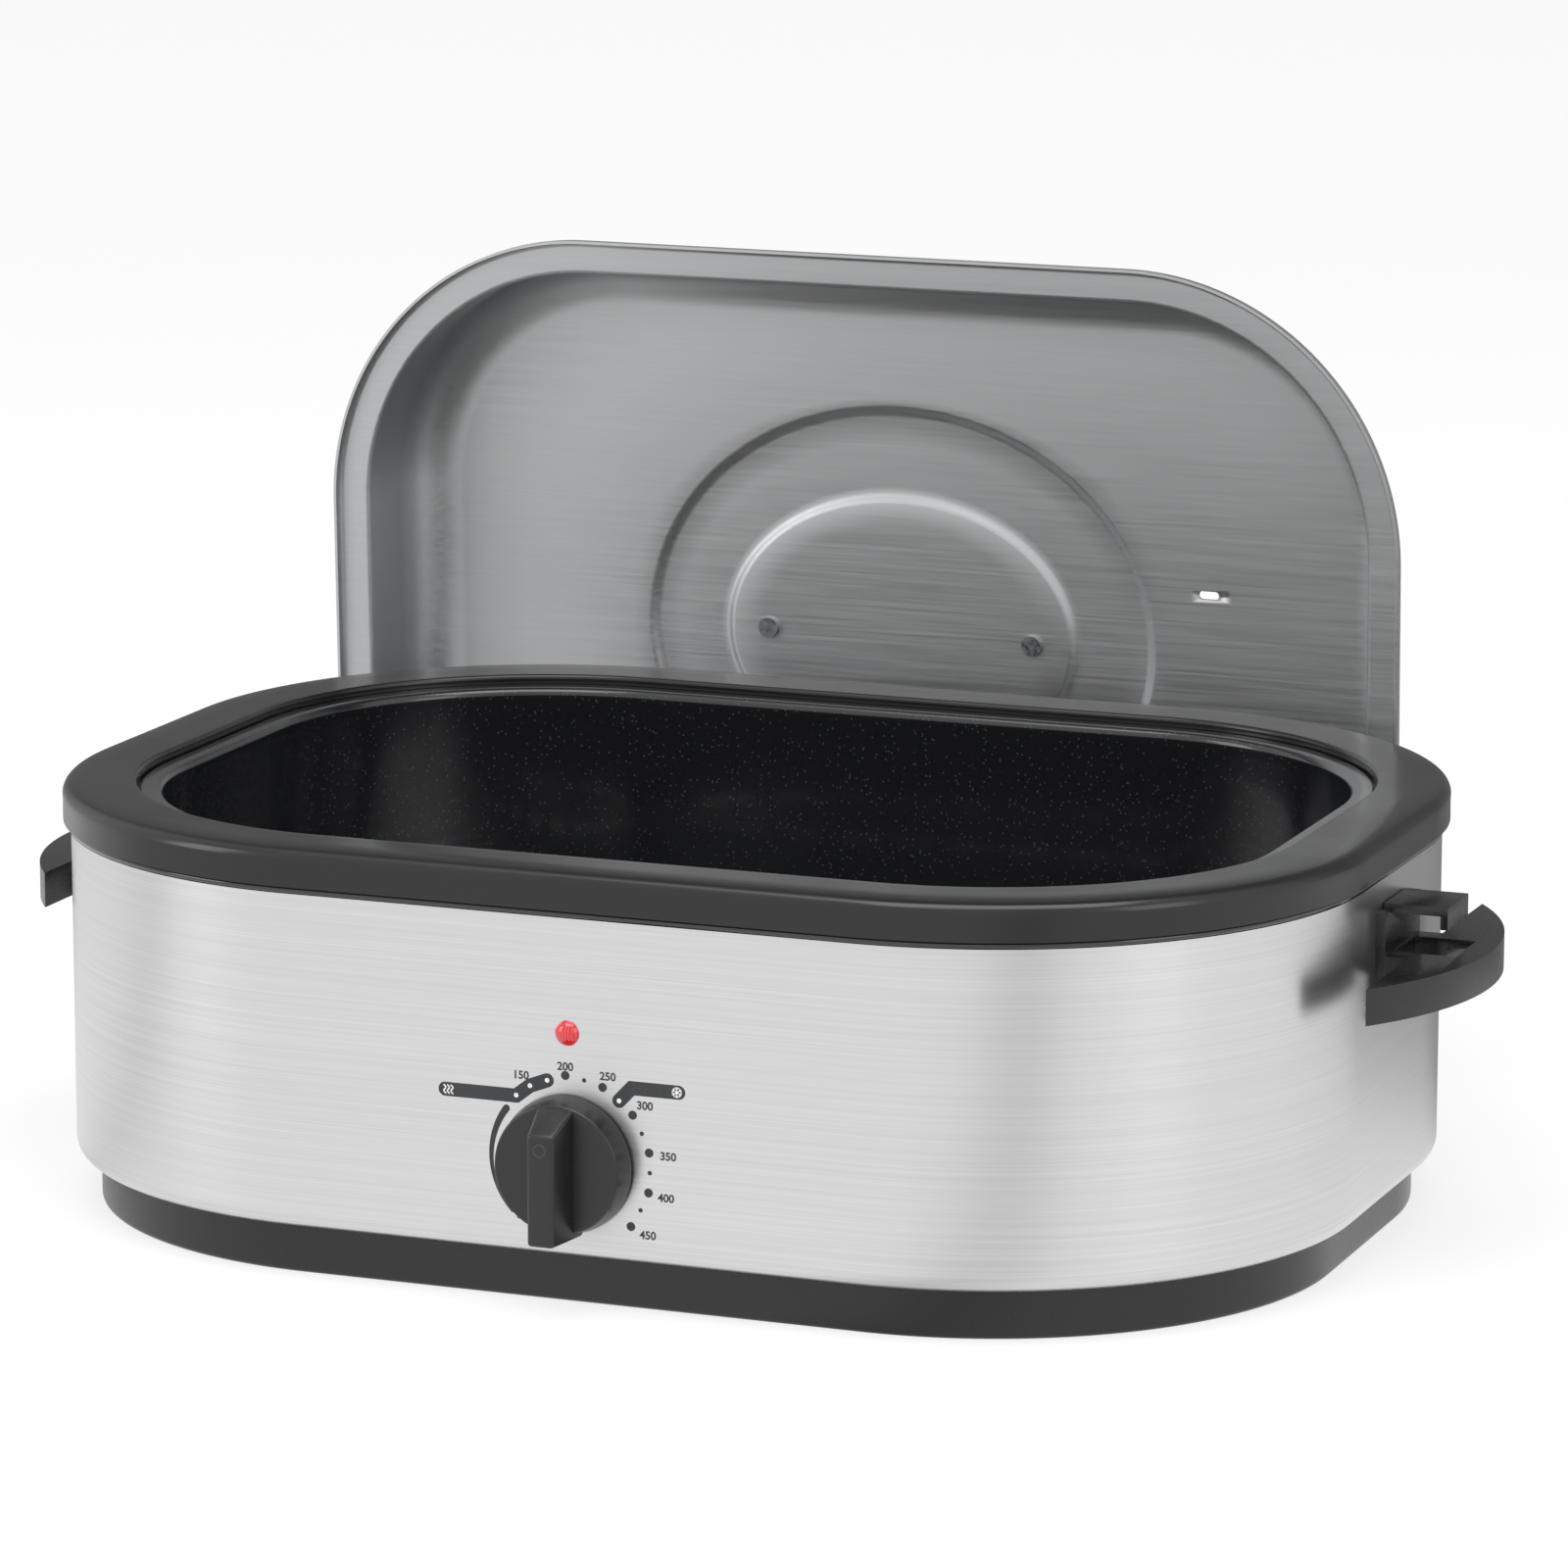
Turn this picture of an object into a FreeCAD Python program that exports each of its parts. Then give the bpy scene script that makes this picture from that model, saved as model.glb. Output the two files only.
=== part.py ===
import FreeCAD, Part
import Sketcher
import math
import os
import re

from FreeCAD import Placement, Rotation, Vector

# Electric roaster oven. Millimetres, +Z up, X along the front, +Y towards the rear.
# The origin is the middle of the flat underside of the base, on the counter.

# Driving sizes. Insets are measured inwards from the outline of the steel band.
size = {
    # outline of the steel band
    "bodyHalfLength": 270.5,
    "bodyHalfWidth": 199.5,
    "bodyCorner": 153.5,
    # base
    "floorLevel": 0.0,
    "baseInset": 10.0,
    "baseWallInset": 12.5,
    "baseFloor": 2.5,
    "baseEdgeRound": 2.0,
    "padRadius": 11.0,
    "padX": 185.0,
    "padY": 105.0,
    "padDepth": 1.6,
    "standoffRadius": 5.0,
    "standoffX": 110.0,
    "standoffY": 85.0,
    "baseScrewRadius": 2.0,
    "baseScrewHead": 4.2,
    "baseScrewTop": 14.0,
    "baseScrewSunk": 0.4,
    "shieldInset": 12.8,
    "shieldGap": 0.3,
    "shieldBottom": 19.7,
    "shieldTop": 20.5,
    # steel band
    "bandBottom": 20.5,
    "bandLip": 21.5,
    "bandTop": 165.0,
    "bandWall": 1.0,
    "bandLipInset": 17.0,
    "bandCurl": 6.0,
    "bandCurlInner": 5.0,
    # collar and the bead under it
    "collarOverhang": -3.2,
    "collarSkirtInner": -0.3,
    "collarSkirtBottom": 158.5,
    "collarTop": 174.0,
    "collarPlate": 171.0,
    "collarWellOuter": 24.0,
    "collarWellInner": 27.0,
    "collarLedgeInset": 33.0,
    "collarLedgeTop": 168.0,
    "collarUnderside": 166.0,
    "collarOuterRound": 5.5,
    "collarInnerRound": 1.5,
    "beadOut": -1.7,
    "beadIn": -0.1,
    "beadBottom": 155.6,
    "beadTop": 158.4,
    # liner well
    "linerOuter": 33.5,
    "linerInner": 34.5,
    "linerBottom": 40.0,
    "linerFloor": 41.0,
    "linerFlangeBottom": 165.0,
    "linerRound": 14.0,
    "linerRoundInner": 13.0,
    "linerPlateInset": 50.0,
    # heater band and insulation
    "heaterOut": 31.8,
    "heaterIn": 33.4,
    "heaterLowBottom": 56.0,
    "heaterLowTop": 82.0,
    "heaterHighBottom": 98.0,
    "heaterHighTop": 124.0,
    "blanketOut": 12.0,
    "blanketIn": 31.6,
    "blanketBottom": 42.0,
    "blanketTop": 160.0,
    "blanketWindowHalf": 48.0,
    "blanketWindowTop": 124.0,
    # controls on the front
    "knobLevel": 58.4,
    "knobRadius": 27.3,
    "knobGap": 0.8,
    "knobSkirt": 13.5,
    "knobEdgeRound": 2.5,
    "knobFront": 29.5,
    "knobRidgeHalf": 5.8,
    "knobRidgeLow": 28.4,
    "knobRidgeTop": 17.0,
    "knobRidgeToe": 26.6,
    "knobRidgeRound": 1.6,
    "knobRecess": 12.0,
    "knobRecessDeep": 3.6,
    "knobBoreDeep": 16.0,
    "shaftRadius": 3.0,
    "shaftBore": 3.05,
    "shaftBack": 187.0,
    "neckRadius": 5.0,
    "neckHole": 5.2,
    "neckFront": 202.0,
    "nutHalfAcross": 7.0,
    "nutThick": 2.0,
    "bracketHalf": 20.0,
    "bracketHigh": 15.0,
    "bracketThick": 1.2,
    "thermoHalf": 16.0,
    "thermoHigh": 14.0,
    "thermoBack": 177.0,
    "thermoDeep": 20.3,
    "lampLevel": 110.0,
    "lampRadius": 5.1,
    "lampRise": 3.4,
    "lampBall": 5.525,
    "lampStem": 4.3,
    "lampHole": 4.4,
    "lampStemBack": 190.0,
    "lampCase": 6.2,
    "lampCaseBack": 176.0,
    # power inlet gland at the rear
    "glandX": 100.0,
    "glandLevel": 48.0,
    "glandBore": 4.0,
    "glandNeck": 6.5,
    "glandFlange": 9.5,
    "glandOut": 206.0,
    "glandFlangeOut": 202.0,
    "glandNutBack": 195.0,
    "glandBack": 190.0,
    # side handles
    "gripTop": 125.8,
    "gripPlate": 3.6,
    "gripSkirt": 14.6,
    "gripWall": 4.5,
    "gripChord": 284.0,
    "gripReach": 311.0,
    "gripHalf": 81.0,
    "gripRound": 2.4,
    "gripNeckHalf": 24.0,
    "gripSlotHalf": 14.5,
    "gripSlotIn": 275.5,
    "gripSlotOut": 300.5,
    "mountPlate": 4.0,
    "mountBottom": 99.0,
    "mountTop": 143.0,
    "restTop": 145.0,
    "restThick": 3.6,
    "restOut": 297.0,
    "restHook": 3.0,
    "restHookDrop": 9.0,
    "sideScrewY": 17.0,
    "sideScrewLevel": 106.0,
    "sideScrewRadius": 2.0,
    "sideScrewHole": 2.1,
    "sideScrewHead": 3.8,
    "sideHeadThick": 2.0,
    "sideScrewIn": 8.0,
    "sideNutRadius": 3.6,
    "sideNutThick": 2.6,
    # roasting pan
    "panFlangeOut": 28.0,
    "panFlangeTop": 169.9,
    "panFlangeBottom": 168.3,
    "panOuter": 36.2,
    "panInner": 37.7,
    "panBottom": 46.0,
    "panFloor": 47.5,
    "panPlateInset": 57.0,
    "panRound": 20.0,
    "panRoundInner": 18.5,
    "panLipRound": 0.7,
    # wire rack
    "rackInset": 57.0,
    "rackLevel": 62.0,
    "rackWire": 2.3,
    "rackCrossWire": 1.5,
    "rackWeld": 0.3,
    "rackEndGap": 12.0,
    "rackPitch": 28.0,
    "rackRunnerY": 62.0,
    "rackFootX": 105.0,
    "rackFootLow": 47.8,
    "loopHalf": 34.0,
    "loopTop": 118.0,
    "loopBend": 12.0,
    # lid, modelled lying flat and then stood up behind the body
    "lidHalfLength": 246.5,
    "lidHalfWidth": 179.5,
    "lidCorner": 122.0,
    "lidLip": 6.0,
    "lidFlange": 14.0,
    "lidHigh": 60.0,
    "lidWall": 1.2,
    "lidShoulder": 24.0,
    "lidRoot": 3.0,
    "lidOvalHalf": 118.0,
    "lidOvalWide": 102.0,
    "lidOvalRise": 2.4,
    "lidInnerHalf": 82.0,
    "lidInnerWide": 63.0,
    "lidInnerSink": 2.0,
    "lidCentreX": -37.0,
    "lidPlaneY": 207.4,
    "lidClear": 0.4,
    "lidLean": 1.8,
    "ventX": 143.5,
    "ventY": 28.0,
    "ventHalf": 4.6,
    "ventWide": 1.8,
    # lid handle
    "pullHalf": 74.0,
    "pullWide": 11.0,
    "pullPost": 16.0,
    "pullRise": 30.0,
    "pullBar": 11.0,
    "pullRound": 4.0,
    "pullSlopeDeep": 6.0,
    "pullSlopeLong": 10.0,
    "pullHeadThick": 2.0,
    "pullWasher": 7.0,
    "pullWasherThick": 0.8,
    "pullScrewX": 62.0,
    "pullScrew": 2.2,
    "pullScrewHead": 4.5,
    "pullScrewDeep": 14.0,
}

doc = FreeCAD.newDocument("roaster_oven")
sheet = doc.addObject("Spreadsheet::Sheet", "dim")
for row, (alias, value) in enumerate(size.items(), start=1):
    sheet.set("A%d" % row, alias)
    sheet.set("B%d" % row, str(value))
    sheet.setAlias("B%d" % row, alias)
doc.recompute()

pieces = {}


# Helpers

def number(text):
    """Value of a sum or difference of named sizes, such as 'collarTop - collarPlate'."""
    total = 0.0
    for sign, word in re.findall(r"([+-]?)\s*([A-Za-z]\w*|\d+\.?\d*)", str(text)):
        part = size[word] if word in size else float(word)
        total += -part if sign == "-" else part
    return total


def bound(text):
    """The same sum written for the sheet."""
    return re.sub(r"([A-Za-z]\w*)", r"dim.\1", str(text))


def tie(thing, **properties):
    """Binds properties to the sheet; a double underscore stands for a point."""
    for name, text in properties.items():
        thing.setExpression(name.replace("__", "."), bound(text))
    return thing


def keep(node, thing):
    thing.Label = node
    pieces[node] = thing
    return thing


def originPlane(body, role):
    for feature in body.Origin.OriginFeatures:
        if feature.Role == role:
            return feature
    raise ValueError(role)


def newBody(name):
    return doc.addObject("PartDesign::Body", name)


def sketchOn(body, name, role, level="0"):
    sketch = body.newObject("Sketcher::SketchObject", name)
    sketch.AttachmentSupport = [(originPlane(body, role), "")]
    sketch.MapMode = "FlatFace"
    sketch.AttachmentOffset = Placement(Vector(0, 0, number(level)), Rotation())
    sketch.setExpression("AttachmentOffset.Base.z", bound(level))
    return sketch


bandOutline = ("bodyHalfLength", "bodyHalfWidth", "bodyCorner")
lidOutline = ("lidHalfLength", "lidHalfWidth", "lidCorner")


def roundedSketch(body, name, inset, level, outline=bandOutline):
    """Rounded rectangle set in from an outline, drawn at a level above the XY plane."""
    sketch = sketchOn(body, name, "XY_Plane", level)
    halfX = number(outline[0]) - number(inset)
    halfY = number(outline[1]) - number(inset)
    corner = number(outline[2]) - number(inset)
    flatX = halfX - corner
    flatY = halfY - corner
    up = Vector(0, 0, 1)

    def line(x0, y0, x1, y1):
        return sketch.addGeometry(Part.LineSegment(Vector(x0, y0, 0), Vector(x1, y1, 0)), False)

    def arc(x, y, start):
        circle = Part.Circle(Vector(x, y, 0), up, corner)
        return sketch.addGeometry(
            Part.ArcOfCircle(circle, math.radians(start), math.radians(start + 90)), False)

    line(-flatX, -halfY, flatX, -halfY)
    arc(flatX, -flatY, -90)
    line(halfX, -flatY, halfX, flatY)
    arc(flatX, flatY, 0)
    line(flatX, halfY, -flatX, halfY)
    arc(-flatX, flatY, 90)
    line(-halfX, flatY, -halfX, -flatY)
    arc(-flatX, -flatY, 180)
    limits = []
    for index in range(8):
        limits.append(Sketcher.Constraint("Tangent", index, 2, (index + 1) % 8, 1))
    limits.append(Sketcher.Constraint("Horizontal", 0))
    limits.append(Sketcher.Constraint("Horizontal", 4))
    limits.append(Sketcher.Constraint("Vertical", 2))
    limits.append(Sketcher.Constraint("Vertical", 6))
    for index in (3, 5, 7):
        limits.append(Sketcher.Constraint("Equal", 1, index))
    limits.append(Sketcher.Constraint("Symmetric", 0, 1, 4, 1, -1, 1))
    sketch.addConstraint(limits)
    drivers = {
        "flatX": ("DistanceX", (0, 1, 0, 2), 2 * flatX,
                  "2 * (dim.%s - dim.%s)" % (outline[0], outline[2])),
        "flatY": ("DistanceY", (2, 1, 2, 2), 2 * flatY,
                  "2 * (dim.%s - dim.%s)" % (outline[1], outline[2])),
        "corner": ("Radius", (1,), corner, "dim.%s - (%s)" % (outline[2], bound(inset))),
    }
    for word, (kind, where, value, text) in drivers.items():
        index = sketch.addConstraint(Sketcher.Constraint(kind, *where, value))
        sketch.renameConstraint(index, word)
        sketch.setExpression("Constraints." + word, text)
    return sketch


def circleSketch(body, name, role, level, circles):
    """Circles given as (x, y, radius)."""
    sketch = sketchOn(body, name, role, level)
    for order, (x, y, radius) in enumerate(circles):
        centre = Vector(number(x), number(y), 0)
        index = sketch.addGeometry(Part.Circle(centre, Vector(0, 0, 1), number(radius)), False)
        rules = [("Radius", (index,), radius), ("DistanceX", (-1, 1, index, 3), x),
                 ("DistanceY", (-1, 1, index, 3), y)]
        for kind, where, text in rules:
            limit = sketch.addConstraint(Sketcher.Constraint(kind, *where, number(text)))
            sketch.renameConstraint(limit, "%s%d" % (kind.lower(), order))
            sketch.setExpression("Constraints.%s%d" % (kind.lower(), order), bound(text))
    return sketch


def outlineSketch(body, name, role, level, points):
    """Closed polygon; each corner is a pair of sums of named sizes."""
    sketch = sketchOn(body, name, role, level)
    spots = [Vector(number(x), number(y), 0) for x, y in points]
    count = len(spots)
    for index in range(count):
        sketch.addGeometry(Part.LineSegment(spots[index], spots[(index + 1) % count]), False)
    for index in range(count):
        sketch.addConstraint(Sketcher.Constraint("Coincident", index, 2, (index + 1) % count, 1))
    for index, (x, y) in enumerate(points):
        for kind, text in (("DistanceX", x), ("DistanceY", y)):
            rule = Sketcher.Constraint(kind, -1, 1, index, 1, number(text))
            limit = sketch.addConstraint(rule)
            sketch.renameConstraint(limit, "%s%d" % (kind.lower(), index))
            sketch.setExpression("Constraints.%s%d" % (kind.lower(), index), bound(text))
    return sketch


def pad(body, sketch, length, midplane=False):
    feature = body.newObject("PartDesign::Pad", sketch.Name + "Pad")
    feature.Profile = sketch
    feature.Length = number(length)
    feature.setExpression("Length", bound(length))
    feature.Midplane = midplane
    sketch.Visibility = False
    doc.recompute()
    return feature


def pocket(body, sketch, depth, midplane=False, reverse=False):
    """Cuts against the sketch's normal, and says so if nothing was cut."""
    before = body.Shape.Volume
    feature = body.newObject("PartDesign::Pocket", sketch.Name + "Cut")
    feature.Profile = sketch
    feature.Length = number(depth)
    feature.setExpression("Length", bound(depth))
    feature.Midplane = midplane
    feature.Reversed = reverse
    doc.recompute()
    if body.Shape.Volume >= before - 1.0:
        states = [(thing.Name, thing.State) for thing in body.Group]
        raise ValueError("nothing cut by %s %s" % (feature.Name, states))
    return feature


def planInset(point, outline):
    """How far a point lies inside a rounded outline, seen from above."""
    halfX, halfY, corner = (number(word) for word in outline)
    x = abs(point.x) - (halfX - corner)
    y = abs(point.y) - (halfY - corner)
    outside = math.hypot(max(x, 0), max(y, 0))
    return corner - outside - min(max(x, y), 0)


def roundLoop(body, level, inset, radius, outline=bandOutline):
    """Fillets the edges of one rounded-rectangle loop of the body."""
    names = []
    for index, edge in enumerate(body.Tip.Shape.Edges, start=1):
        first, last = edge.ParameterRange
        middle = edge.valueAt((first + last) / 2)
        box = edge.BoundBox
        atLevel = box.ZLength < 0.01 and abs(box.ZMin - number(level)) < 0.02
        if atLevel and abs(planInset(middle, outline) - number(inset)) < 0.05:
            names.append("Edge%d" % index)
    if len(names) < 8:
        raise ValueError("loop not found at level %s inset %s" % (level, inset))
    base = body.Tip
    feature = body.newObject("PartDesign::Fillet", "Round")
    feature.Base = (base, names)
    feature.Radius = number(radius)
    feature.setExpression("Radius", bound(radius))
    doc.recompute()
    return feature


def roundEdges(body, test, radius):
    """Fillets every edge of the body whose middle and direction pass the test."""
    names = []
    for index, edge in enumerate(body.Tip.Shape.Edges, start=1):
        first, last = edge.ParameterRange
        middle = edge.valueAt((first + last) / 2)
        if test(middle, edge):
            names.append("Edge%d" % index)
    base = body.Tip
    feature = body.newObject("PartDesign::Fillet", "Round")
    feature.Base = (base, names)
    feature.Radius = number(radius)
    feature.setExpression("Radius", bound(radius))
    doc.recompute()
    return feature


def tub(name, outer, bottom, top, outline=bandOutline):
    """Body that starts as a solid rounded-rectangle block."""
    body = newBody(name)
    sketch = roundedSketch(body, name + "Outline", outer, bottom, outline)
    pad(body, sketch, "%s - %s" % (top, bottom))
    return body


def sink(body, inset, top, bottom, outline=bandOutline):
    """Pocket from one level down to a lower one."""
    sketch = roundedSketch(body, "Well", inset, top, outline)
    return pocket(body, sketch, "%s - %s" % (top, bottom))


def box(name, x, y, z):
    """Box between two sums along each direction."""
    thing = doc.addObject("Part::Box", name)
    for word, axis, (low, high) in (("Length", "x", x), ("Width", "y", y), ("Height", "z", z)):
        span = "(%s) - (%s)" % (bound(high), bound(low))
        thing.setExpression(word, span)
        thing.setExpression("Placement.Base." + axis, bound(low))
    return thing


turns = {
    "+X": Rotation(Vector(0, 1, 0), 90),
    "-X": Rotation(Vector(0, 1, 0), -90),
    "+Y": Rotation(Vector(1, 0, 0), -90),
    "-Y": Rotation(Vector(1, 0, 0), 90),
    "+Z": Rotation(),
    "-Z": Rotation(Vector(1, 0, 0), 180),
}


def rod(name, radius, length, at, along="+Z"):
    """Cylinder from a point, in one of the six main directions."""
    thing = doc.addObject("Part::Cylinder", name)
    thing.Placement = Placement(Vector(0, 0, 0), turns[along])
    tie(thing, Radius=radius, Height=length)
    for axis, text in zip("xyz", at):
        thing.setExpression("Placement.Base." + axis, bound(text))
    return thing


def join(name, *things):
    thing = doc.addObject("Part::MultiFuse", name)
    thing.Shapes = list(things)
    return thing


def cut(name, base, *tools):
    thing = doc.addObject("Part::Cut", name)
    thing.Base = base
    thing.Tool = tools[0] if len(tools) == 1 else join(name + "Tools", *tools)
    doc.recompute()
    return thing


def group(name, things):
    thing = doc.addObject("Part::Compound", name)
    thing.Links = list(things)
    return thing


def fourCorners(x, y):
    return [(a + x, b + y) for a in ("", "-") for b in ("", "-")]


# Base

def makeBase():
    body = tub("BaseTray", "baseInset", "floorLevel", "bandBottom")
    roundLoop(body, "floorLevel", "baseInset", "baseEdgeRound")
    sink(body, "baseWallInset", "bandBottom", "baseFloor")
    tools = []
    for x, y in fourCorners("padX", "padY"):
        tools.append(rod("PadSeat", "padRadius", "padDepth", (x, y, "floorLevel")))
    for x, y in fourCorners("standoffX", "standoffY"):
        tools.append(rod("ScrewHole", "baseScrewRadius", "baseFloor", (x, y, "floorLevel")))
        tools.append(rod("ScrewSeat", "baseScrewHead", "padDepth", (x, y, "floorLevel")))
    keep("base_tray", cut("BaseTrayDrilled", body, *tools))
    pads = []
    for x, y in fourCorners("padX", "padY"):
        pads.append(rod("Pad", "padRadius", "padDepth", (x, y, "floorLevel")))
    keep("base_pads", group("BasePads", pads))


def makeStandoffs():
    posts = []
    screws = []
    for x, y in fourCorners("standoffX", "standoffY"):
        post = rod("Post", "standoffRadius", "linerBottom - baseFloor", (x, y, "baseFloor"))
        hole = rod("PostHole", "baseScrewRadius", "baseScrewTop", (x, y, "baseFloor"))
        posts.append(cut("Standoff", post, hole))
        shank = rod("Shank", "baseScrewRadius", "baseScrewTop", (x, y, "padDepth"))
        head = rod("Head", "baseScrewHead", "padDepth - baseScrewSunk", (x, y, "baseScrewSunk"))
        screws.append(join("BaseScrew", shank, head))
    keep("liner_standoffs", group("LinerStandoffs", posts))
    keep("base_screws", group("BaseScrews", screws))


def makeShield():
    body = tub("HeatShield", "shieldInset", "shieldBottom", "shieldTop")
    holes = []
    for x, y in fourCorners("standoffX", "standoffY"):
        where = (x, y, "shieldBottom")
        holes.append(rod("PostGap", "standoffRadius + shieldGap", "shieldTop - shieldBottom", where))
    keep("heat_shield", cut("HeatShieldDrilled", body, *holes))


# Steel band with every hole that the controls, handles and gland need

def makeBand():
    body = tub("OuterWrap", "0", "bandBottom", "bandTop")
    sink(body, "bandWall", "bandTop", "bandLip")
    roundLoop(body, "bandLip", "bandWall", "bandCurlInner")
    roundLoop(body, "bandBottom", "0", "bandCurl")
    sink(body, "bandLipInset", "bandLip", "bandBottom")
    front = "-bodyHalfWidth - 2"
    holes = [
        rod("NeckHole", "neckHole", "6", ("0", front, "knobLevel"), "+Y"),
        rod("LampHole", "lampHole", "6", ("0", front, "lampLevel"), "+Y"),
        rod("GlandHole", "glandNeck", "6", ("glandX", "bodyHalfWidth - 4", "glandLevel"), "+Y"),
    ]
    for x, along in (("bodyHalfLength - 4", "+X"), ("-bodyHalfLength + 4", "-X")):
        for y in ("sideScrewY", "-sideScrewY"):
            holes.append(rod("SideHole", "sideScrewHole", "8", (x, y, "sideScrewLevel"), along))
    keep("outer_wrap", cut("OuterWrapDrilled", body, *holes))


# Collar: top plate, outer skirt, inner wall and the ledge that carries the pan

def makeCollar():
    body = tub("Collar", "collarOverhang", "collarSkirtBottom", "collarTop")
    roundLoop(body, "collarTop", "collarOverhang", "collarOuterRound")
    sink(body, "collarWellInner", "collarTop", "collarLedgeTop")
    roundLoop(body, "collarTop", "collarWellInner", "collarInnerRound")
    sink(body, "collarLedgeInset", "collarLedgeTop", "collarSkirtBottom")
    under = roundedSketch(body, "Under", "collarSkirtInner", "collarSkirtBottom")
    pocket(body, under, "collarUnderside - collarSkirtBottom", reverse=True)
    ring = tub("CollarHollow", "collarSkirtInner", "collarUnderside", "collarPlate")
    sketch = roundedSketch(ring, "Keep", "collarWellOuter", "collarPlate")
    pocket(ring, sketch, "collarPlate - collarUnderside")
    keep("collar", cut("CollarHollowed", body, ring))
    bead = tub("CollarBead", "beadOut", "beadBottom", "beadTop")
    sink(bead, "beadIn", "beadTop", "beadBottom")
    keep("collar_bead", bead)


# Fixed well with its heater bands and blanket

def makeLiner():
    body = tub("Liner", "linerOuter", "linerBottom", "linerFlangeBottom")
    flange = roundedSketch(body, "Flange", "0", "linerFlangeBottom")
    pad(body, flange, "collarUnderside - linerFlangeBottom")
    sink(body, "linerInner", "collarUnderside", "linerFloor")
    roundLoop(body, "linerFloor", "linerInner", "linerRoundInner")
    roundLoop(body, "linerBottom", "linerOuter", "linerRound")
    sink(body, "linerPlateInset", "linerFloor", "linerBottom")
    keep("liner", body)
    keep("liner_floor", tub("LinerFloor", "linerPlateInset", "linerBottom", "linerFloor"))


def makeHeater():
    for node, low, high in (("heater_band_lower", "heaterLowBottom", "heaterLowTop"),
                            ("heater_band_upper", "heaterHighBottom", "heaterHighTop")):
        body = tub("Heater", "heaterOut", low, high)
        sink(body, "heaterIn", high, low)
        keep(node, body)


def makeBlanket():
    body = tub("Blanket", "blanketOut", "blanketBottom", "blanketTop")
    sink(body, "blanketIn", "blanketTop", "blanketBottom")
    front = box("FrontWindow", ("-blanketWindowHalf", "blanketWindowHalf"),
                ("-bodyHalfWidth", "-bodyHalfWidth + blanketIn + 4"),
                ("blanketBottom - 2", "blanketWindowTop"))
    keep("insulation_blanket", cut("BlanketCut", body, front))


# Thermostat, its nut, bracket and shaft

def makeThermostat():
    face = "-bodyHalfWidth + bandWall"
    case = box("ThermoCase", ("-thermoHalf", "thermoHalf"), ("-thermoBack - thermoDeep", "-thermoBack"),
               ("knobLevel - thermoHigh", "knobLevel + thermoHigh"))
    neck = rod("ThermoNeck", "neckRadius", "neckFront - thermoBack - 5",
               ("0", "-thermoBack - 5", "knobLevel"), "-Y")
    bore = rod("ThermoBore", "shaftBore", "neckFront - shaftBack + 0.5",
               ("0", "-shaftBack + 0.5", "knobLevel"), "-Y")
    keep("thermostat_body", cut("Thermostat", join("ThermoBlock", case, neck), bore))
    plate = box("BracketPlate", ("-bracketHalf", "bracketHalf"),
                (face, face + " + bracketThick"),
                ("knobLevel - bracketHigh", "knobLevel + bracketHigh"))
    hole = rod("BracketHole", "neckRadius", "4", ("0", face + " - 1", "knobLevel"), "+Y")
    keep("thermostat_bracket", cut("ThermoBracket", plate, hole))
    nut = doc.addObject("Part::Prism", "NutBlock")
    nut.Polygon = 6
    nut.Placement = Placement(Vector(0, 0, 0), turns["-Y"])
    tie(nut, Height="nutThick", Placement__Base__y="-bodyHalfWidth", Placement__Base__z="knobLevel")
    nut.setExpression("Circumradius", "dim.nutHalfAcross / cos(30 deg)")
    hole = rod("NutBore", "neckRadius", "nutThick", ("0", "-bodyHalfWidth", "knobLevel"), "-Y")
    keep("thermostat_nut", cut("ThermoNut", nut, hole))
    keep("thermostat_shaft", rod("Shaft", "shaftRadius",
                                 "bodyHalfWidth + knobGap + knobBoreDeep - shaftBack",
                                 ("0", "-shaftBack", "knobLevel"), "-Y"))


# Knob, modelled lying on its back and then turned to face the front

def makeKnob():
    body = newBody("Knob")
    pad(body, circleSketch(body, "Skirt", "XY_Plane", "0", [("0", "0", "knobRadius")]), "knobSkirt")
    level = number("knobSkirt")
    roundEdges(body, lambda middle, edge: edge.BoundBox.ZMin > level - 0.01, "knobEdgeRound")
    ridge = outlineSketch(body, "Ridge", "YZ_Plane", "0", [
        ("-knobRidgeLow", "knobEdgeRound"),
        ("knobRidgeToe", "knobEdgeRound"),
        ("knobRidgeToe", "knobSkirt"),
        ("knobRidgeTop", "knobFront"),
        ("-knobRidgeLow", "knobFront"),
    ])
    pad(body, ridge, "knobRidgeHalf + knobRidgeHalf", midplane=True)
    half = number("knobRidgeHalf")
    front = number("knobSkirt") + 1

    def onRidge(middle, edge):
        return middle.z > front and abs(abs(middle.x) - half) < 0.01

    roundEdges(body, onRidge, "knobRidgeRound")
    recess = circleSketch(body, "Recess", "XY_Plane", "knobRecessDeep",
                          [("0", "0", "knobRecess")])
    pocket(body, recess, "knobRecessDeep")
    bore = circleSketch(body, "Bore", "XY_Plane", "knobBoreDeep", [("0", "0", "shaftRadius")])
    pocket(body, bore, "knobBoreDeep")
    body.Placement = Placement(Vector(0, 0, 0), turns["-Y"])
    tie(body, Placement__Base__y="-bodyHalfWidth - knobGap", Placement__Base__z="knobLevel")
    keep("knob", body)


# Signal lamp: domed lens on a stem, and the case behind the band

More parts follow.
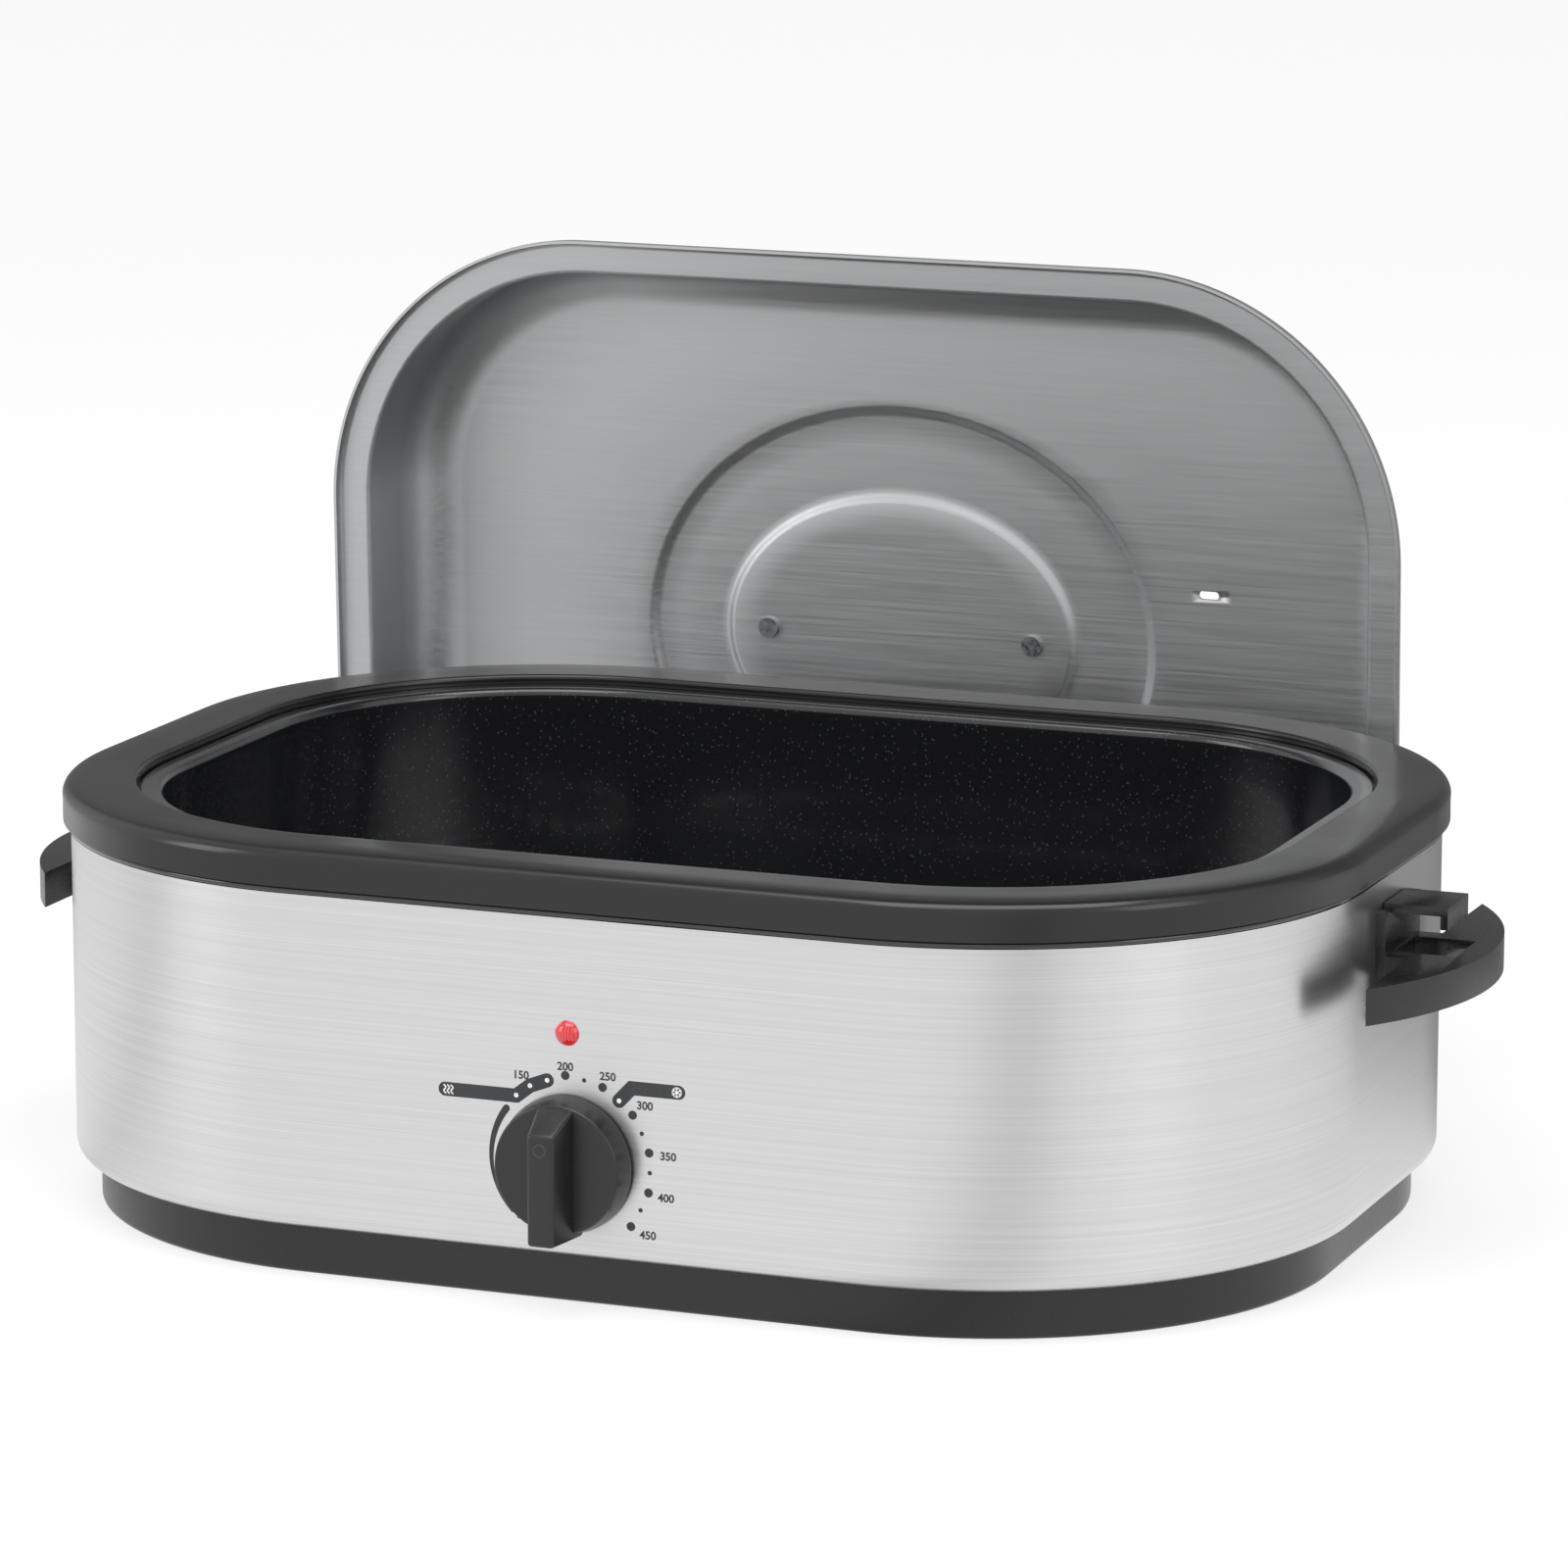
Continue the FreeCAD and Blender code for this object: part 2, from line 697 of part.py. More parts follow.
def makeLamp():
    sphere = doc.addObject("Part::Sphere", "LensBall")
    tie(sphere, Radius="lampBall", Placement__Base__z="lampLevel",
        Placement__Base__y="-bodyHalfWidth + lampBall - lampRise")
    outside = box("LensSide", ("-lampRadius", "lampRadius"),
                  ("-bodyHalfWidth - lampRise", "-bodyHalfWidth"),
                  ("lampLevel - lampRadius", "lampLevel + lampRadius"))
    dome = doc.addObject("Part::Common", "LensDome")
    dome.Base = sphere
    dome.Tool = outside
    stem = rod("LensStem", "lampStem", "bodyHalfWidth - lampStemBack",
               ("0", "-lampStemBack", "lampLevel"), "-Y")
    keep("lamp_lens", join("LampLens", dome, stem))
    case = rod("LampCase", "lampCase", "bodyHalfWidth - bandWall - lampCaseBack",
               ("0", "-lampCaseBack", "lampLevel"), "-Y")
    hole = rod("LampCaseBore", "lampStem", "bodyHalfWidth - lampStemBack",
               ("0", "-lampStemBack", "lampLevel"), "-Y")
    keep("lamp_housing", cut("LampHousing", case, hole))


# Gland for the supply lead

def makeGland():
    def tube(name, radius, start, end):
        return rod(name, radius, "%s - %s" % (end, start), ("glandX", start, "glandLevel"), "+Y")

    solid = join("GlandBlock", tube("GlandNeck", "glandNeck", "glandBack", "glandOut"),
                 tube("GlandFlange", "glandFlange", "bodyHalfWidth", "glandFlangeOut"))
    keep("cord_gland", cut("Gland", solid, tube("GlandBore", "glandBore", "glandBack", "glandOut")))
    nut = tube("GlandNutBlock", "glandFlange", "glandNutBack", "bodyHalfWidth - bandWall")
    hole = tube("GlandNutBore", "glandNeck", "glandNutBack", "bodyHalfWidth - bandWall")
    keep("gland_nut", cut("GlandNut", nut, hole))


# Side handles: half-moon grip with a skirt, neck, mounting plate and lid rest

def gripOutline(body, name, level, inset):
    """Chord closed by an arc through the furthest point of the grip."""
    chord = number("gripChord") + inset
    reach = number("gripReach") - inset
    half = number("gripHalf") - 1.6 * inset
    sketch = sketchOn(body, name, "XY_Plane", level)
    low = Vector(chord, -half, 0)
    high = Vector(chord, half, 0)
    sketch.addGeometry(Part.Arc(low, Vector(reach, 0, 0), high), False)
    sketch.addGeometry(Part.LineSegment(high, low), False)
    sketch.addConstraint(Sketcher.Constraint("Coincident", 0, 2, 1, 1))
    sketch.addConstraint(Sketcher.Constraint("Coincident", 1, 2, 0, 1))
    return sketch


def makeHandle(node, mirrored):
    body = newBody("Grip")
    pad(body, gripOutline(body, "GripPlan", "gripTop - gripSkirt", 0.0), "gripSkirt")
    top = number("gripTop")

    def outerRim(middle, edge):
        return edge.BoundBox.ZMin > top - 0.01 and middle.x > number("gripChord") + 1

    roundEdges(body, outerRim, "gripRound")
    hollow = gripOutline(body, "GripHollow", "gripTop - gripSkirt", number("gripWall"))
    pocket(body, hollow, "gripSkirt - gripPlate", reverse=True)
    face = "bodyHalfLength"
    neck = box("Neck", (face, "gripChord + 1"), ("-gripNeckHalf", "gripNeckHalf"),
               ("gripTop - gripPlate - 4", "gripTop"))
    plate = box("MountPlate", (face, face + " + mountPlate"), ("-gripNeckHalf", "gripNeckHalf"),
                ("mountBottom", "mountTop"))
    rest = box("LidRest", (face, "restOut"), ("-gripSlotHalf", "gripSlotHalf"),
               ("restTop - restThick", "restTop"))
    hook = box("RestHook", ("restOut - restHook", "restOut"), ("-gripSlotHalf", "gripSlotHalf"),
               ("restTop - restHookDrop", "restTop"))
    slot = box("Slot", ("gripSlotIn", "gripSlotOut"), ("-gripSlotHalf", "gripSlotHalf"),
               ("gripTop - gripSkirt - 2", "gripTop + 1"))
    holes = []
    for y in ("sideScrewY", "-sideScrewY"):
        where = (face + " - 1", y, "sideScrewLevel")
        holes.append(rod("PlateHole", "sideScrewHole", "mountPlate + 2", where, "+X"))
    solid = cut("GripCut", join("GripBlock", body, neck, plate), slot, *holes)
    whole = join("Handle", solid, rest, hook)
    if mirrored:
        doc.recompute()
        mirror = doc.addObject("Part::Mirroring", "HandleMirror")
        mirror.Source = whole
        mirror.Normal = Vector(1, 0, 0)
        whole = mirror
    keep(node, whole)


def makeSideScrews():
    screws = []
    nuts = []
    for side, along in (("", "-X"), ("-", "+X")):
        opposite = "-" if side == "" else "+"
        for y in ("sideScrewY", "-sideScrewY"):
            outside = side + "bodyHalfLength " + ("+ " if side == "" else "- ") + "mountPlate"
            shank = rod("SideShank", "sideScrewRadius", "mountPlate + sideScrewIn",
                        (outside, y, "sideScrewLevel"), along)
            headAt = outside + (" + " if side == "" else " - ") + "sideHeadThick"
            head = rod("SideHead", "sideScrewHead", "sideHeadThick",
                       (headAt, y, "sideScrewLevel"), along)
            screws.append(join("SideScrew", shank, head))
            inside = "%sbodyHalfLength %s bandWall" % (side, opposite)
            nut = rod("SideNutBlock", "sideNutRadius", "sideNutThick",
                      (inside, y, "sideScrewLevel"), along)
            hole = rod("SideNutBore", "sideScrewRadius", "sideNutThick",
                       (inside, y, "sideScrewLevel"), along)
            nuts.append(cut("SideNut", nut, hole))
    keep("handle_screws", group("HandleScrews", screws))
    keep("handle_nuts", group("HandleNuts", nuts))


# Lift-out roasting pan

def makePan():
    body = tub("Pan", "panOuter", "panBottom", "panFlangeBottom")
    flange = roundedSketch(body, "Flange", "panFlangeOut", "panFlangeBottom")
    pad(body, flange, "panFlangeTop - panFlangeBottom")
    sink(body, "panInner", "panFlangeTop", "panFloor")
    roundLoop(body, "panFloor", "panInner", "panRoundInner")
    roundLoop(body, "panBottom", "panOuter", "panRound")
    roundLoop(body, "panFlangeTop", "panFlangeOut", "panLipRound")
    sink(body, "panPlateInset", "panFloor", "panBottom")
    keep("roasting_pan", body)
    keep("pan_floor", tub("PanFloor", "panPlateInset", "panBottom", "panFloor"))


# Wire rack: ring with runners and feet, cross wires and two lifting loops

def wireRing(radius, level):
    """Four straight wires joined by quarter rings at the corners."""
    halfX = number("bodyHalfLength - rackInset")
    halfY = number("bodyHalfWidth - rackInset")
    corner = number("bodyCorner - rackInset")
    flatX = halfX - corner
    flatY = halfY - corner
    up = Vector(0, 0, 1)
    solids = []
    for order, (sx, sy) in enumerate(((1, 1), (-1, 1), (-1, -1), (1, -1))):
        bend = Part.makeTorus(corner, radius, Vector(), up, 0, 360, 90)
        bend.rotate(Vector(), up, 90 * order)
        bend.translate(Vector(sx * flatX, sy * flatY, level))
        solids.append(bend)
    for side in (1, -1):
        along = Vector(-flatX, side * halfY, level)
        solids.append(Part.makeCylinder(radius, 2 * flatX, along, Vector(1, 0, 0)))
        across = Vector(side * halfX, -flatY, level)
        solids.append(Part.makeCylinder(radius, 2 * flatY, across, Vector(0, 1, 0)))
    return solids


def wireAlong(path, radius):
    """Round wire along a path that starts where its first edge starts."""
    first = path.OrderedEdges[0]
    start = first.valueAt(first.FirstParameter)
    tangent = first.tangentAt(first.FirstParameter)
    section = Part.Wire([Part.Circle(start, tangent, radius).toShape()])
    return path.makePipeShell([section], True, True)


def makeRack():
    level = number("rackLevel")
    wire = number("rackWire")
    halfX = number("bodyHalfLength - rackInset")
    halfY = number("bodyHalfWidth - rackInset")
    corner = number("bodyCorner - rackInset")
    solids = wireRing(wire, level)
    for y in (number("rackRunnerY"), -number("rackRunnerY")):
        reach = halfX - corner + math.sqrt(corner ** 2 - max(abs(y) - (halfY - corner), 0) ** 2)
        solids.append(Part.makeCylinder(wire, 2 * reach, Vector(-reach, y, level), Vector(1, 0, 0)))
    low = number("rackFootLow")
    for x in (number("rackFootX"), -number("rackFootX")):
        for y in (halfY, -halfY):
            foot = Part.makeCylinder(wire, level - low - wire, Vector(x, y, low + wire))
            ball = Part.makeSphere(wire, Vector(x, y, low + wire))
            solids.append(foot.fuse(ball))
    frame = doc.addObject("Part::Feature", "RackFrame")
    frame.Shape = solids[0].multiFuse(solids[1:])
    keep("rack_frame", frame)
    thin = number("rackCrossWire")
    height = level + wire + thin - number("rackWeld")
    count = int(halfX // number("rackPitch"))
    bars = []
    for index in range(-count, count + 1):
        x = index * number("rackPitch")
        side = max(abs(x) - (halfX - corner), 0)
        if side > corner - number("rackEndGap"):
            continue
        reach = halfY - corner + math.sqrt(corner ** 2 - side ** 2)
        bars.append(Part.makeCylinder(thin, 2 * reach, Vector(x, -reach, height), Vector(0, 1, 0)))
    cross = doc.addObject("Part::Feature", "RackWires")
    cross.Shape = Part.makeCompound(bars)
    keep("rack_wires", cross)
    loops = []
    for sign in (1, -1):
        x = sign * number("bodyHalfLength - rackInset")
        half = number("loopHalf")
        top = number("loopTop")
        bend = number("loopBend")
        short = bend * (1 - math.sqrt(0.5))
        low = level + wire - number("rackWeld")
        a = Vector(x, -half, low)
        b = Vector(x, -half, top - bend)
        c = Vector(x, -half + bend, top)
        d = Vector(x, half - bend, top)
        e = Vector(x, half, top - bend)
        f = Vector(x, half, low)
        path = Part.Wire([
            Part.LineSegment(a, b).toShape(),
            Part.Arc(b, Vector(x, -half + short, top - short), c).toShape(),
            Part.LineSegment(c, d).toShape(),
            Part.Arc(d, Vector(x, half - short, top - short), e).toShape(),
            Part.LineSegment(e, f).toShape(),
        ])
        loops.append(wireAlong(path, wire))
    handles = doc.addObject("Part::Feature", "RackLoops")
    handles.Shape = Part.makeCompound(loops)
    keep("rack_lift_loops", handles)


# Lid, made lying flat with its dome up, then stood on its long edge behind the body

def lidPlacement():
    lean = math.radians(number("lidLean"))
    rise = number("lidHalfWidth") * math.cos(lean) + number("lidClear")
    turn = Rotation(Vector(1, 0, 0), -90 + number("lidLean"))
    return Placement(Vector(number("lidCentreX"), number("lidPlaneY"), rise), turn)


def ovalSketch(body, name, level, half, wide):
    sketch = sketchOn(body, name, "XY_Plane", level)
    oval = Part.Ellipse(Vector(number(half), 0, 0), Vector(0, number(wide), 0), Vector(0, 0, 0))
    sketch.addGeometry(oval, False)
    return sketch


def makeLid():
    body = tub("Lid", "0", "0", "lidLip", lidOutline)
    dome = roundedSketch(body, "Dome", "lidFlange", "lidLip", lidOutline)
    pad(body, dome, "lidHigh - lidLip")
    roundLoop(body, "lidHigh", "lidFlange", "lidShoulder", lidOutline)
    roundLoop(body, "lidLip", "0", "lidRoot", lidOutline)
    pad(body, ovalSketch(body, "Oval", "lidHigh", "lidOvalHalf", "lidOvalWide"), "lidOvalRise")
    outerTop = "lidHigh + lidOvalRise"
    pocket(body, ovalSketch(body, "InnerOval", outerTop, "lidInnerHalf", "lidInnerWide"),
           "lidInnerSink")
    ring = roundedSketch(body, "LipHollow", "lidWall", "0", lidOutline)
    pocket(body, ring, "lidLip - lidWall", reverse=True)
    hollow = newBody("LidHollow")
    well = roundedSketch(hollow, "Inside", "lidFlange + lidWall", "0", lidOutline)
    pad(hollow, well, "lidHigh - lidWall")
    roundLoop(hollow, "lidHigh - lidWall", "lidFlange + lidWall", "lidShoulder - lidWall",
              lidOutline)
    pad(hollow, ovalSketch(hollow, "OvalInside", "lidHigh - lidWall", "lidOvalHalf - lidWall",
                           "lidOvalWide - lidWall"), "lidOvalRise")
    pocket(hollow, ovalSketch(hollow, "InnerInside", "lidHigh - lidWall + lidOvalRise",
                              "lidInnerHalf + lidWall", "lidInnerWide + lidWall"), "lidInnerSink")
    vent = box("Vent", ("ventX - ventHalf", "ventX + ventHalf"),
               ("-ventY - ventWide", "-ventY + ventWide"), ("lidHigh - 10", "lidHigh + 5"))
    holes = []
    for x in ("pullScrewX", "-pullScrewX"):
        holes.append(rod("PullHole", "pullScrew", "10", (x, "0", "lidHigh - 6")))
    shell = cut("LidShell", body, hollow, vent, *holes)
    shell.Placement = lidPlacement()
    keep("lid_shell", shell)


def makePull():
    """Handle on washers on the lid's inner oval, with a screw up into each post."""
    oval = "lidHigh + lidOvalRise - lidInnerSink"
    seat = oval + " + pullWasherThick"
    headTop = oval + " - lidWall"
    body = newBody("Pull")
    arch = outlineSketch(body, "Arch", "XZ_Plane", "0", [
        ("-pullHalf", seat),
        ("-pullHalf + pullPost", seat),
        ("-pullHalf + pullPost", seat + " + pullRise - pullBar"),
        ("pullHalf - pullPost", seat + " + pullRise - pullBar"),
        ("pullHalf - pullPost", seat),
        ("pullHalf", seat),
        ("pullHalf", seat + " + pullRise - pullSlopeDeep"),
        ("pullHalf - pullSlopeLong", seat + " + pullRise"),
        ("-pullHalf + pullSlopeLong", seat + " + pullRise"),
        ("-pullHalf", seat + " + pullRise - pullSlopeDeep"),
    ])
    pad(body, arch, "pullWide + pullWide", midplane=True)
    half = number("pullWide")
    under = number(seat) + 1

    def longEdge(middle, edge):
        return middle.z > under and abs(abs(middle.y) - half) < 0.01

    roundEdges(body, longEdge, "pullRound")
    holes = []
    screws = []
    washers = []
    for x in ("pullScrewX", "-pullScrewX"):
        holes.append(rod("PullBore", "pullScrew", "pullScrewDeep", (x, "0", seat)))
        shank = rod("PullShank", "pullScrew", "pullScrewDeep + pullWasherThick + lidWall",
                    (x, "0", headTop))
        head = rod("PullHead", "pullScrewHead", "pullHeadThick",
                   (x, "0", headTop + " - pullHeadThick"))
        screws.append(join("PullScrew", shank, head))
        disc = rod("Washer", "pullWasher", "pullWasherThick", (x, "0", oval))
        bore = rod("WasherBore", "pullScrew", "pullWasherThick", (x, "0", oval))
        washers.append(cut("PullWasher", disc, bore))
    handle = cut("PullDrilled", body, *holes)
    things = (("lid_handle", handle), ("lid_handle_screws", group("PullScrews", screws)),
              ("lid_handle_washers", group("PullWashers", washers)))
    for node, thing in things:
        thing.Placement = lidPlacement()
        keep(node, thing)


makeBase()
makeStandoffs()
makeShield()
makeBand()
makeCollar()
makeLiner()
makeHeater()
makeBlanket()
makeThermostat()
makeKnob()
makeLamp()
makeGland()
makeHandle("right_handle", False)
makeHandle("left_handle", True)
makeSideScrews()
makePan()
makeRack()
makeLid()
makePull()
doc.recompute()

# Every object is checked before anything is written
problems = []
for thing in doc.Objects:
    if "Invalid" in thing.State or "Error" in thing.State:
        problems.append("%s (%s)" % (thing.Name, thing.Label))
for node, thing in pieces.items():
    if thing.Shape.isNull() or not thing.Shape.isValid() or not thing.Shape.Solids:
        problems.append(node)
if problems:
    raise RuntimeError("failed: " + ", ".join(problems))

os.makedirs("parts", exist_ok=True)
for node, thing in pieces.items():
    thing.Shape.exportStep("parts/%s.step" % node)
    bounds = thing.Shape.BoundBox
    print("%-22s %2d solids  x %7.1f %7.1f  y %7.1f %7.1f  z %6.1f %6.1f" % (
        node, len(thing.Shape.Solids), bounds.XMin, bounds.XMax, bounds.YMin, bounds.YMax,
        bounds.ZMin, bounds.ZMax))
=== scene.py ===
import bmesh
import bpy
import math
import numpy as np
from mathutils import Matrix, Vector


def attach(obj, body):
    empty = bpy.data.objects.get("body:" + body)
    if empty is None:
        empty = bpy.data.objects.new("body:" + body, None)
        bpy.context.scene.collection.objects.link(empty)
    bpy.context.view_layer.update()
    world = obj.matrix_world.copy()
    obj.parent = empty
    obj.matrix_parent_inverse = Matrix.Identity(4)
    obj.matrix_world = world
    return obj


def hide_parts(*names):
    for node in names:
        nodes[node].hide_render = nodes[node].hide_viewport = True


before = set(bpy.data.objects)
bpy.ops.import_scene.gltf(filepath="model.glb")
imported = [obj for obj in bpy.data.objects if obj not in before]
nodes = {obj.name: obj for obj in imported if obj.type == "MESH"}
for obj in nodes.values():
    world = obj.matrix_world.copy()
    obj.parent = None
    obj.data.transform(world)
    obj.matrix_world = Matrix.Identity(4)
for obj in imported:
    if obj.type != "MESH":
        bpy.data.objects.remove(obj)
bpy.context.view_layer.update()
print("stage 1: frame loaded", len(nodes))

mm = 0.001

# The steel band's outline seen from above, half sizes and corner radius
band = {"halfX": 270.5, "halfY": 199.5, "corner": 153.5, "bottom": 20.5, "top": 165.0}

# The lid: its own outline, and how it stands behind the body
lid = {"halfX": 246.5, "halfY": 179.5, "corner": 122.0, "centre": (-37.0, 207.4, 0.0),
       "lean": 1.8, "clear": 0.4}

# Camera solved from the photograph's edges
lens = {"place": (1.07371, -2.72708, 0.77908), "yaw": -0.3709, "pitch": 0.2046,
        "roll": 0.0011, "focal": 168.56, "shiftX": -0.00197, "shiftY": -0.00246}


# Meshes

def linear(hexColour):
    # sRGB hex to linear light, the curve given by the sRGB standard
    parts = [int(hexColour[i:i + 2], 16) / 255 for i in (0, 2, 4)]
    return tuple(c / 12.92 if c <= 0.04045 else ((c + 0.055) / 1.055) ** 2.4 for c in parts)


def newObject(name, points, faces, material, smoothAngle=35.0):
    # points in millimetres, faces as tuples of indices
    mesh = bpy.data.meshes.new(name)
    mesh.from_pydata((np.asarray(points) * mm).tolist(), [], faces)
    mesh.validate()
    mesh.polygons.foreach_set("use_smooth", np.ones(len(mesh.polygons), dtype=bool))
    mesh.set_sharp_from_angle(angle=math.radians(smoothAngle))
    thing = bpy.data.objects.new(name, mesh)
    bpy.context.scene.collection.objects.link(thing)
    if material is not None:
        mesh.materials.append(material)
    return thing


def gridFaces(rows, columns, closeRows=True, closeColumns=True):
    # quads between neighbours of a rows by columns grid, wrapped where asked
    r = np.arange(rows if closeRows else rows - 1)
    c = np.arange(columns if closeColumns else columns - 1)
    i, j = np.meshgrid(r, c, indexing="ij")
    k, m = (i + 1) % rows, (j + 1) % columns
    quads = np.stack([i * columns + j, k * columns + j, k * columns + m, i * columns + m], -1)
    return quads.reshape(-1, 4)


def roundedPath(outline, perCorner=40, perSide=12):
    # core points and outward directions round a rounded rectangle, counter-clockwise
    flatX = outline["halfX"] - outline["corner"]
    flatY = outline["halfY"] - outline["corner"]
    cores, turns = [], []
    signs = [(1, -1), (1, 1), (-1, 1), (-1, -1)]
    for index, (sx, sy) in enumerate(signs):
        start = -math.pi / 2 + index * math.pi / 2
        angle = np.linspace(start, start + math.pi / 2, perCorner)
        cores.append(np.tile([sx * flatX, sy * flatY], (perCorner, 1)))
        turns.append(np.stack([np.cos(angle), np.sin(angle)], -1))
        nx, ny = signs[(index + 1) % 4]
        share = np.linspace(0, 1, perSide + 2)[1:-1, None]
        here = np.array([sx * flatX, sy * flatY])
        there = np.array([nx * flatX, ny * flatY])
        cores.append(here + share * (there - here))
        turns.append(np.tile([math.cos(start + math.pi / 2), math.sin(start + math.pi / 2)],
                             (perSide, 1)))
    return np.concatenate(cores), np.concatenate(turns)


def sweepRound(profile, outline, perCorner=40, perSide=12):
    # point = core + outward * (corner - inset), z straight from the profile
    core, out = roundedPath(outline, perCorner, perSide)
    inset, level = np.asarray(profile, dtype=float).T
    reach = outline["corner"] - inset
    plan = core[:, None, :] + out[:, None, :] * reach[None, :, None]
    height = np.broadcast_to(level, plan.shape[:2])[..., None]
    return np.concatenate([plan, height], -1)


def ringPiece(name, profile, outline, material, angle=35.0, perCorner=40, perSide=12):
    # closed profile carried all the way round, as a ring
    grid = sweepRound(profile, outline, perCorner, perSide)
    quads = gridFaces(*grid.shape[:2])
    return newObject(name, grid.reshape(-1, 3), quads[:, ::-1].tolist(), material, angle)


def arcPoints(centre, radius, start, end, count):
    # points on an arc in (inset, level), angles in degrees
    angle = np.radians(np.linspace(start, end, count))
    x = centre[0] + radius * np.cos(angle)
    y = centre[1] + radius * np.sin(angle)
    return list(zip(x.tolist(), y.tolist()))


# Materials

def addNode(tree, kind, settings=None, links=None, inputs=None):
    # one node with its settings, input values and links from other sockets
    node = tree.nodes.new(kind)
    for key, value in (settings or {}).items():
        setattr(node, key, value)
    for key, value in (inputs or {}).items():
        node.inputs[key].default_value = value
    for key, socket in (links or {}).items():
        tree.links.new(socket, node.inputs[key])
    return node


def newMaterial(name, colour, metallic=0.0, roughness=0.5, **more):
    # one principled shader with its colour, metallic and roughness set
    material = bpy.data.materials.new(name)
    material.use_nodes = True
    tree = material.node_tree
    shader = tree.nodes["Principled BSDF"]
    shader.inputs["Base Color"].default_value = (*linear(colour), 1)
    shader.inputs["Metallic"].default_value = metallic
    shader.inputs["Roughness"].default_value = roughness
    for key, value in more.items():
        shader.inputs[key].default_value = value
    return material, tree, shader


def objectPattern(tree, scale):
    # object coordinates stretched by a scale in cells per metre along each axis
    place = addNode(tree, "ShaderNodeTexCoord")
    return addNode(tree, "ShaderNodeMapping", inputs={"Scale": scale},
                   links={"Vector": place.outputs["Object"]}).outputs["Vector"]


def ramp(tree, source, low, high, fromLow=0.0, fromHigh=1.0):
    # straight line from one range to another, held at its ends
    return addNode(tree, "ShaderNodeMapRange", links={"Value": source},
                   inputs={"From Min": fromLow, "From Max": fromHigh,
                           "To Min": low, "To Max": high}).outputs["Result"]


def mixColour(tree, factor, first, second):
    # first colour at factor 0, second at 1
    node = addNode(tree, "ShaderNodeMix", {"data_type": "RGBA"}, {"Factor": factor})
    node.inputs["A"].default_value = (*linear(first), 1)
    node.inputs["B"].default_value = (*linear(second), 1)
    return node.outputs["Result"]


def bump(tree, shader, height, strength, distance):
    # relief from a height, fed to the shader's normal
    node = addNode(tree, "ShaderNodeBump", links={"Height": height},
                   inputs={"Strength": strength, "Distance": distance})
    tree.links.new(node.outputs["Normal"], shader.inputs["Normal"])


# Stainless sheet, dry-brushed along its length: fine level scratches that spread the reflections
# upwards and leave upright bands of light
def brushedSteel():
    # scratches are drawn about 0.4 mm apart, wider than real ones, so that they show
    material, tree, shader = newMaterial("brushed stainless steel", "cfcfd0", 1.0, 0.3)
    fine = addNode(tree, "ShaderNodeTexNoise", inputs={"Scale": 1.0, "Detail": 3.0,
                   "Roughness": 0.6}, links={"Vector": objectPattern(tree, (9, 9, 2600))})
    broad = addNode(tree, "ShaderNodeTexNoise", inputs={"Scale": 1.0, "Detail": 2.0},
                    links={"Vector": objectPattern(tree, (3, 3, 1300))})
    grain = addNode(tree, "ShaderNodeMath", {"operation": "ADD"})
    tree.links.new(fine.outputs["Fac"], grain.inputs[0])
    tree.links.new(broad.outputs["Fac"], grain.inputs[1])
    share = ramp(tree, grain.outputs["Value"], 0.0, 1.0, 0.75, 1.25)
    tree.links.new(mixColour(tree, share, "d2d2d3", "dcdcdd"), shader.inputs["Base Color"])
    tree.links.new(ramp(tree, share, 0.29, 0.32), shader.inputs["Roughness"])
    shader.inputs["Anisotropic"].default_value = 0.6
    shader.inputs["Anisotropic Rotation"].default_value = 0.25
    bump(tree, shader, share, 0.03, 0.0001)
    return material


# Satin steel of the lid, with a faint brushed grain along its length
def satinSteel():
    material, tree, shader = newMaterial("satin steel", "c2c3c4", 1.0, 0.42)
    grain = addNode(tree, "ShaderNodeTexNoise", inputs={"Scale": 1.0, "Detail": 4.0,
                    "Roughness": 0.65}, links={"Vector": objectPattern(tree, (14, 500, 900))})
    tree.links.new(mixColour(tree, grain.outputs["Fac"], "b4b5b6", "cccdce"),
                   shader.inputs["Base Color"])
    tree.links.new(ramp(tree, grain.outputs["Fac"], 0.38, 0.5, 0.3, 0.7),
                   shader.inputs["Roughness"])
    bump(tree, shader, grain.outputs["Fac"], 0.08, 0.0002)
    return material


# Vitreous enamel or gloss paint on steel: black glass with a faint orange peel
def enamel(name, colour, lighter, roughness, peel=260.0, coat=0.35):
    material, tree, shader = newMaterial(name, colour, 0.0, roughness, IOR=1.5)
    shader.inputs["Coat Weight"].default_value = coat
    shader.inputs["Coat Roughness"].default_value = 0.12
    wave = addNode(tree, "ShaderNodeTexNoise", inputs={"Scale": peel, "Detail": 2.0},
                   links={"Vector": objectPattern(tree, (1, 1, 1))})
    cloud = addNode(tree, "ShaderNodeTexNoise", inputs={"Scale": 22.0, "Detail": 3.0},
                    links={"Vector": objectPattern(tree, (1, 1, 1))})
    tree.links.new(mixColour(tree, cloud.outputs["Fac"], colour, lighter),
                   shader.inputs["Base Color"])
    tree.links.new(ramp(tree, cloud.outputs["Fac"], roughness * 0.85, roughness * 1.2, 0.3, 0.7),
                   shader.inputs["Roughness"])
    bump(tree, shader, wave.outputs["Fac"], 0.05, 0.0004)
    return material


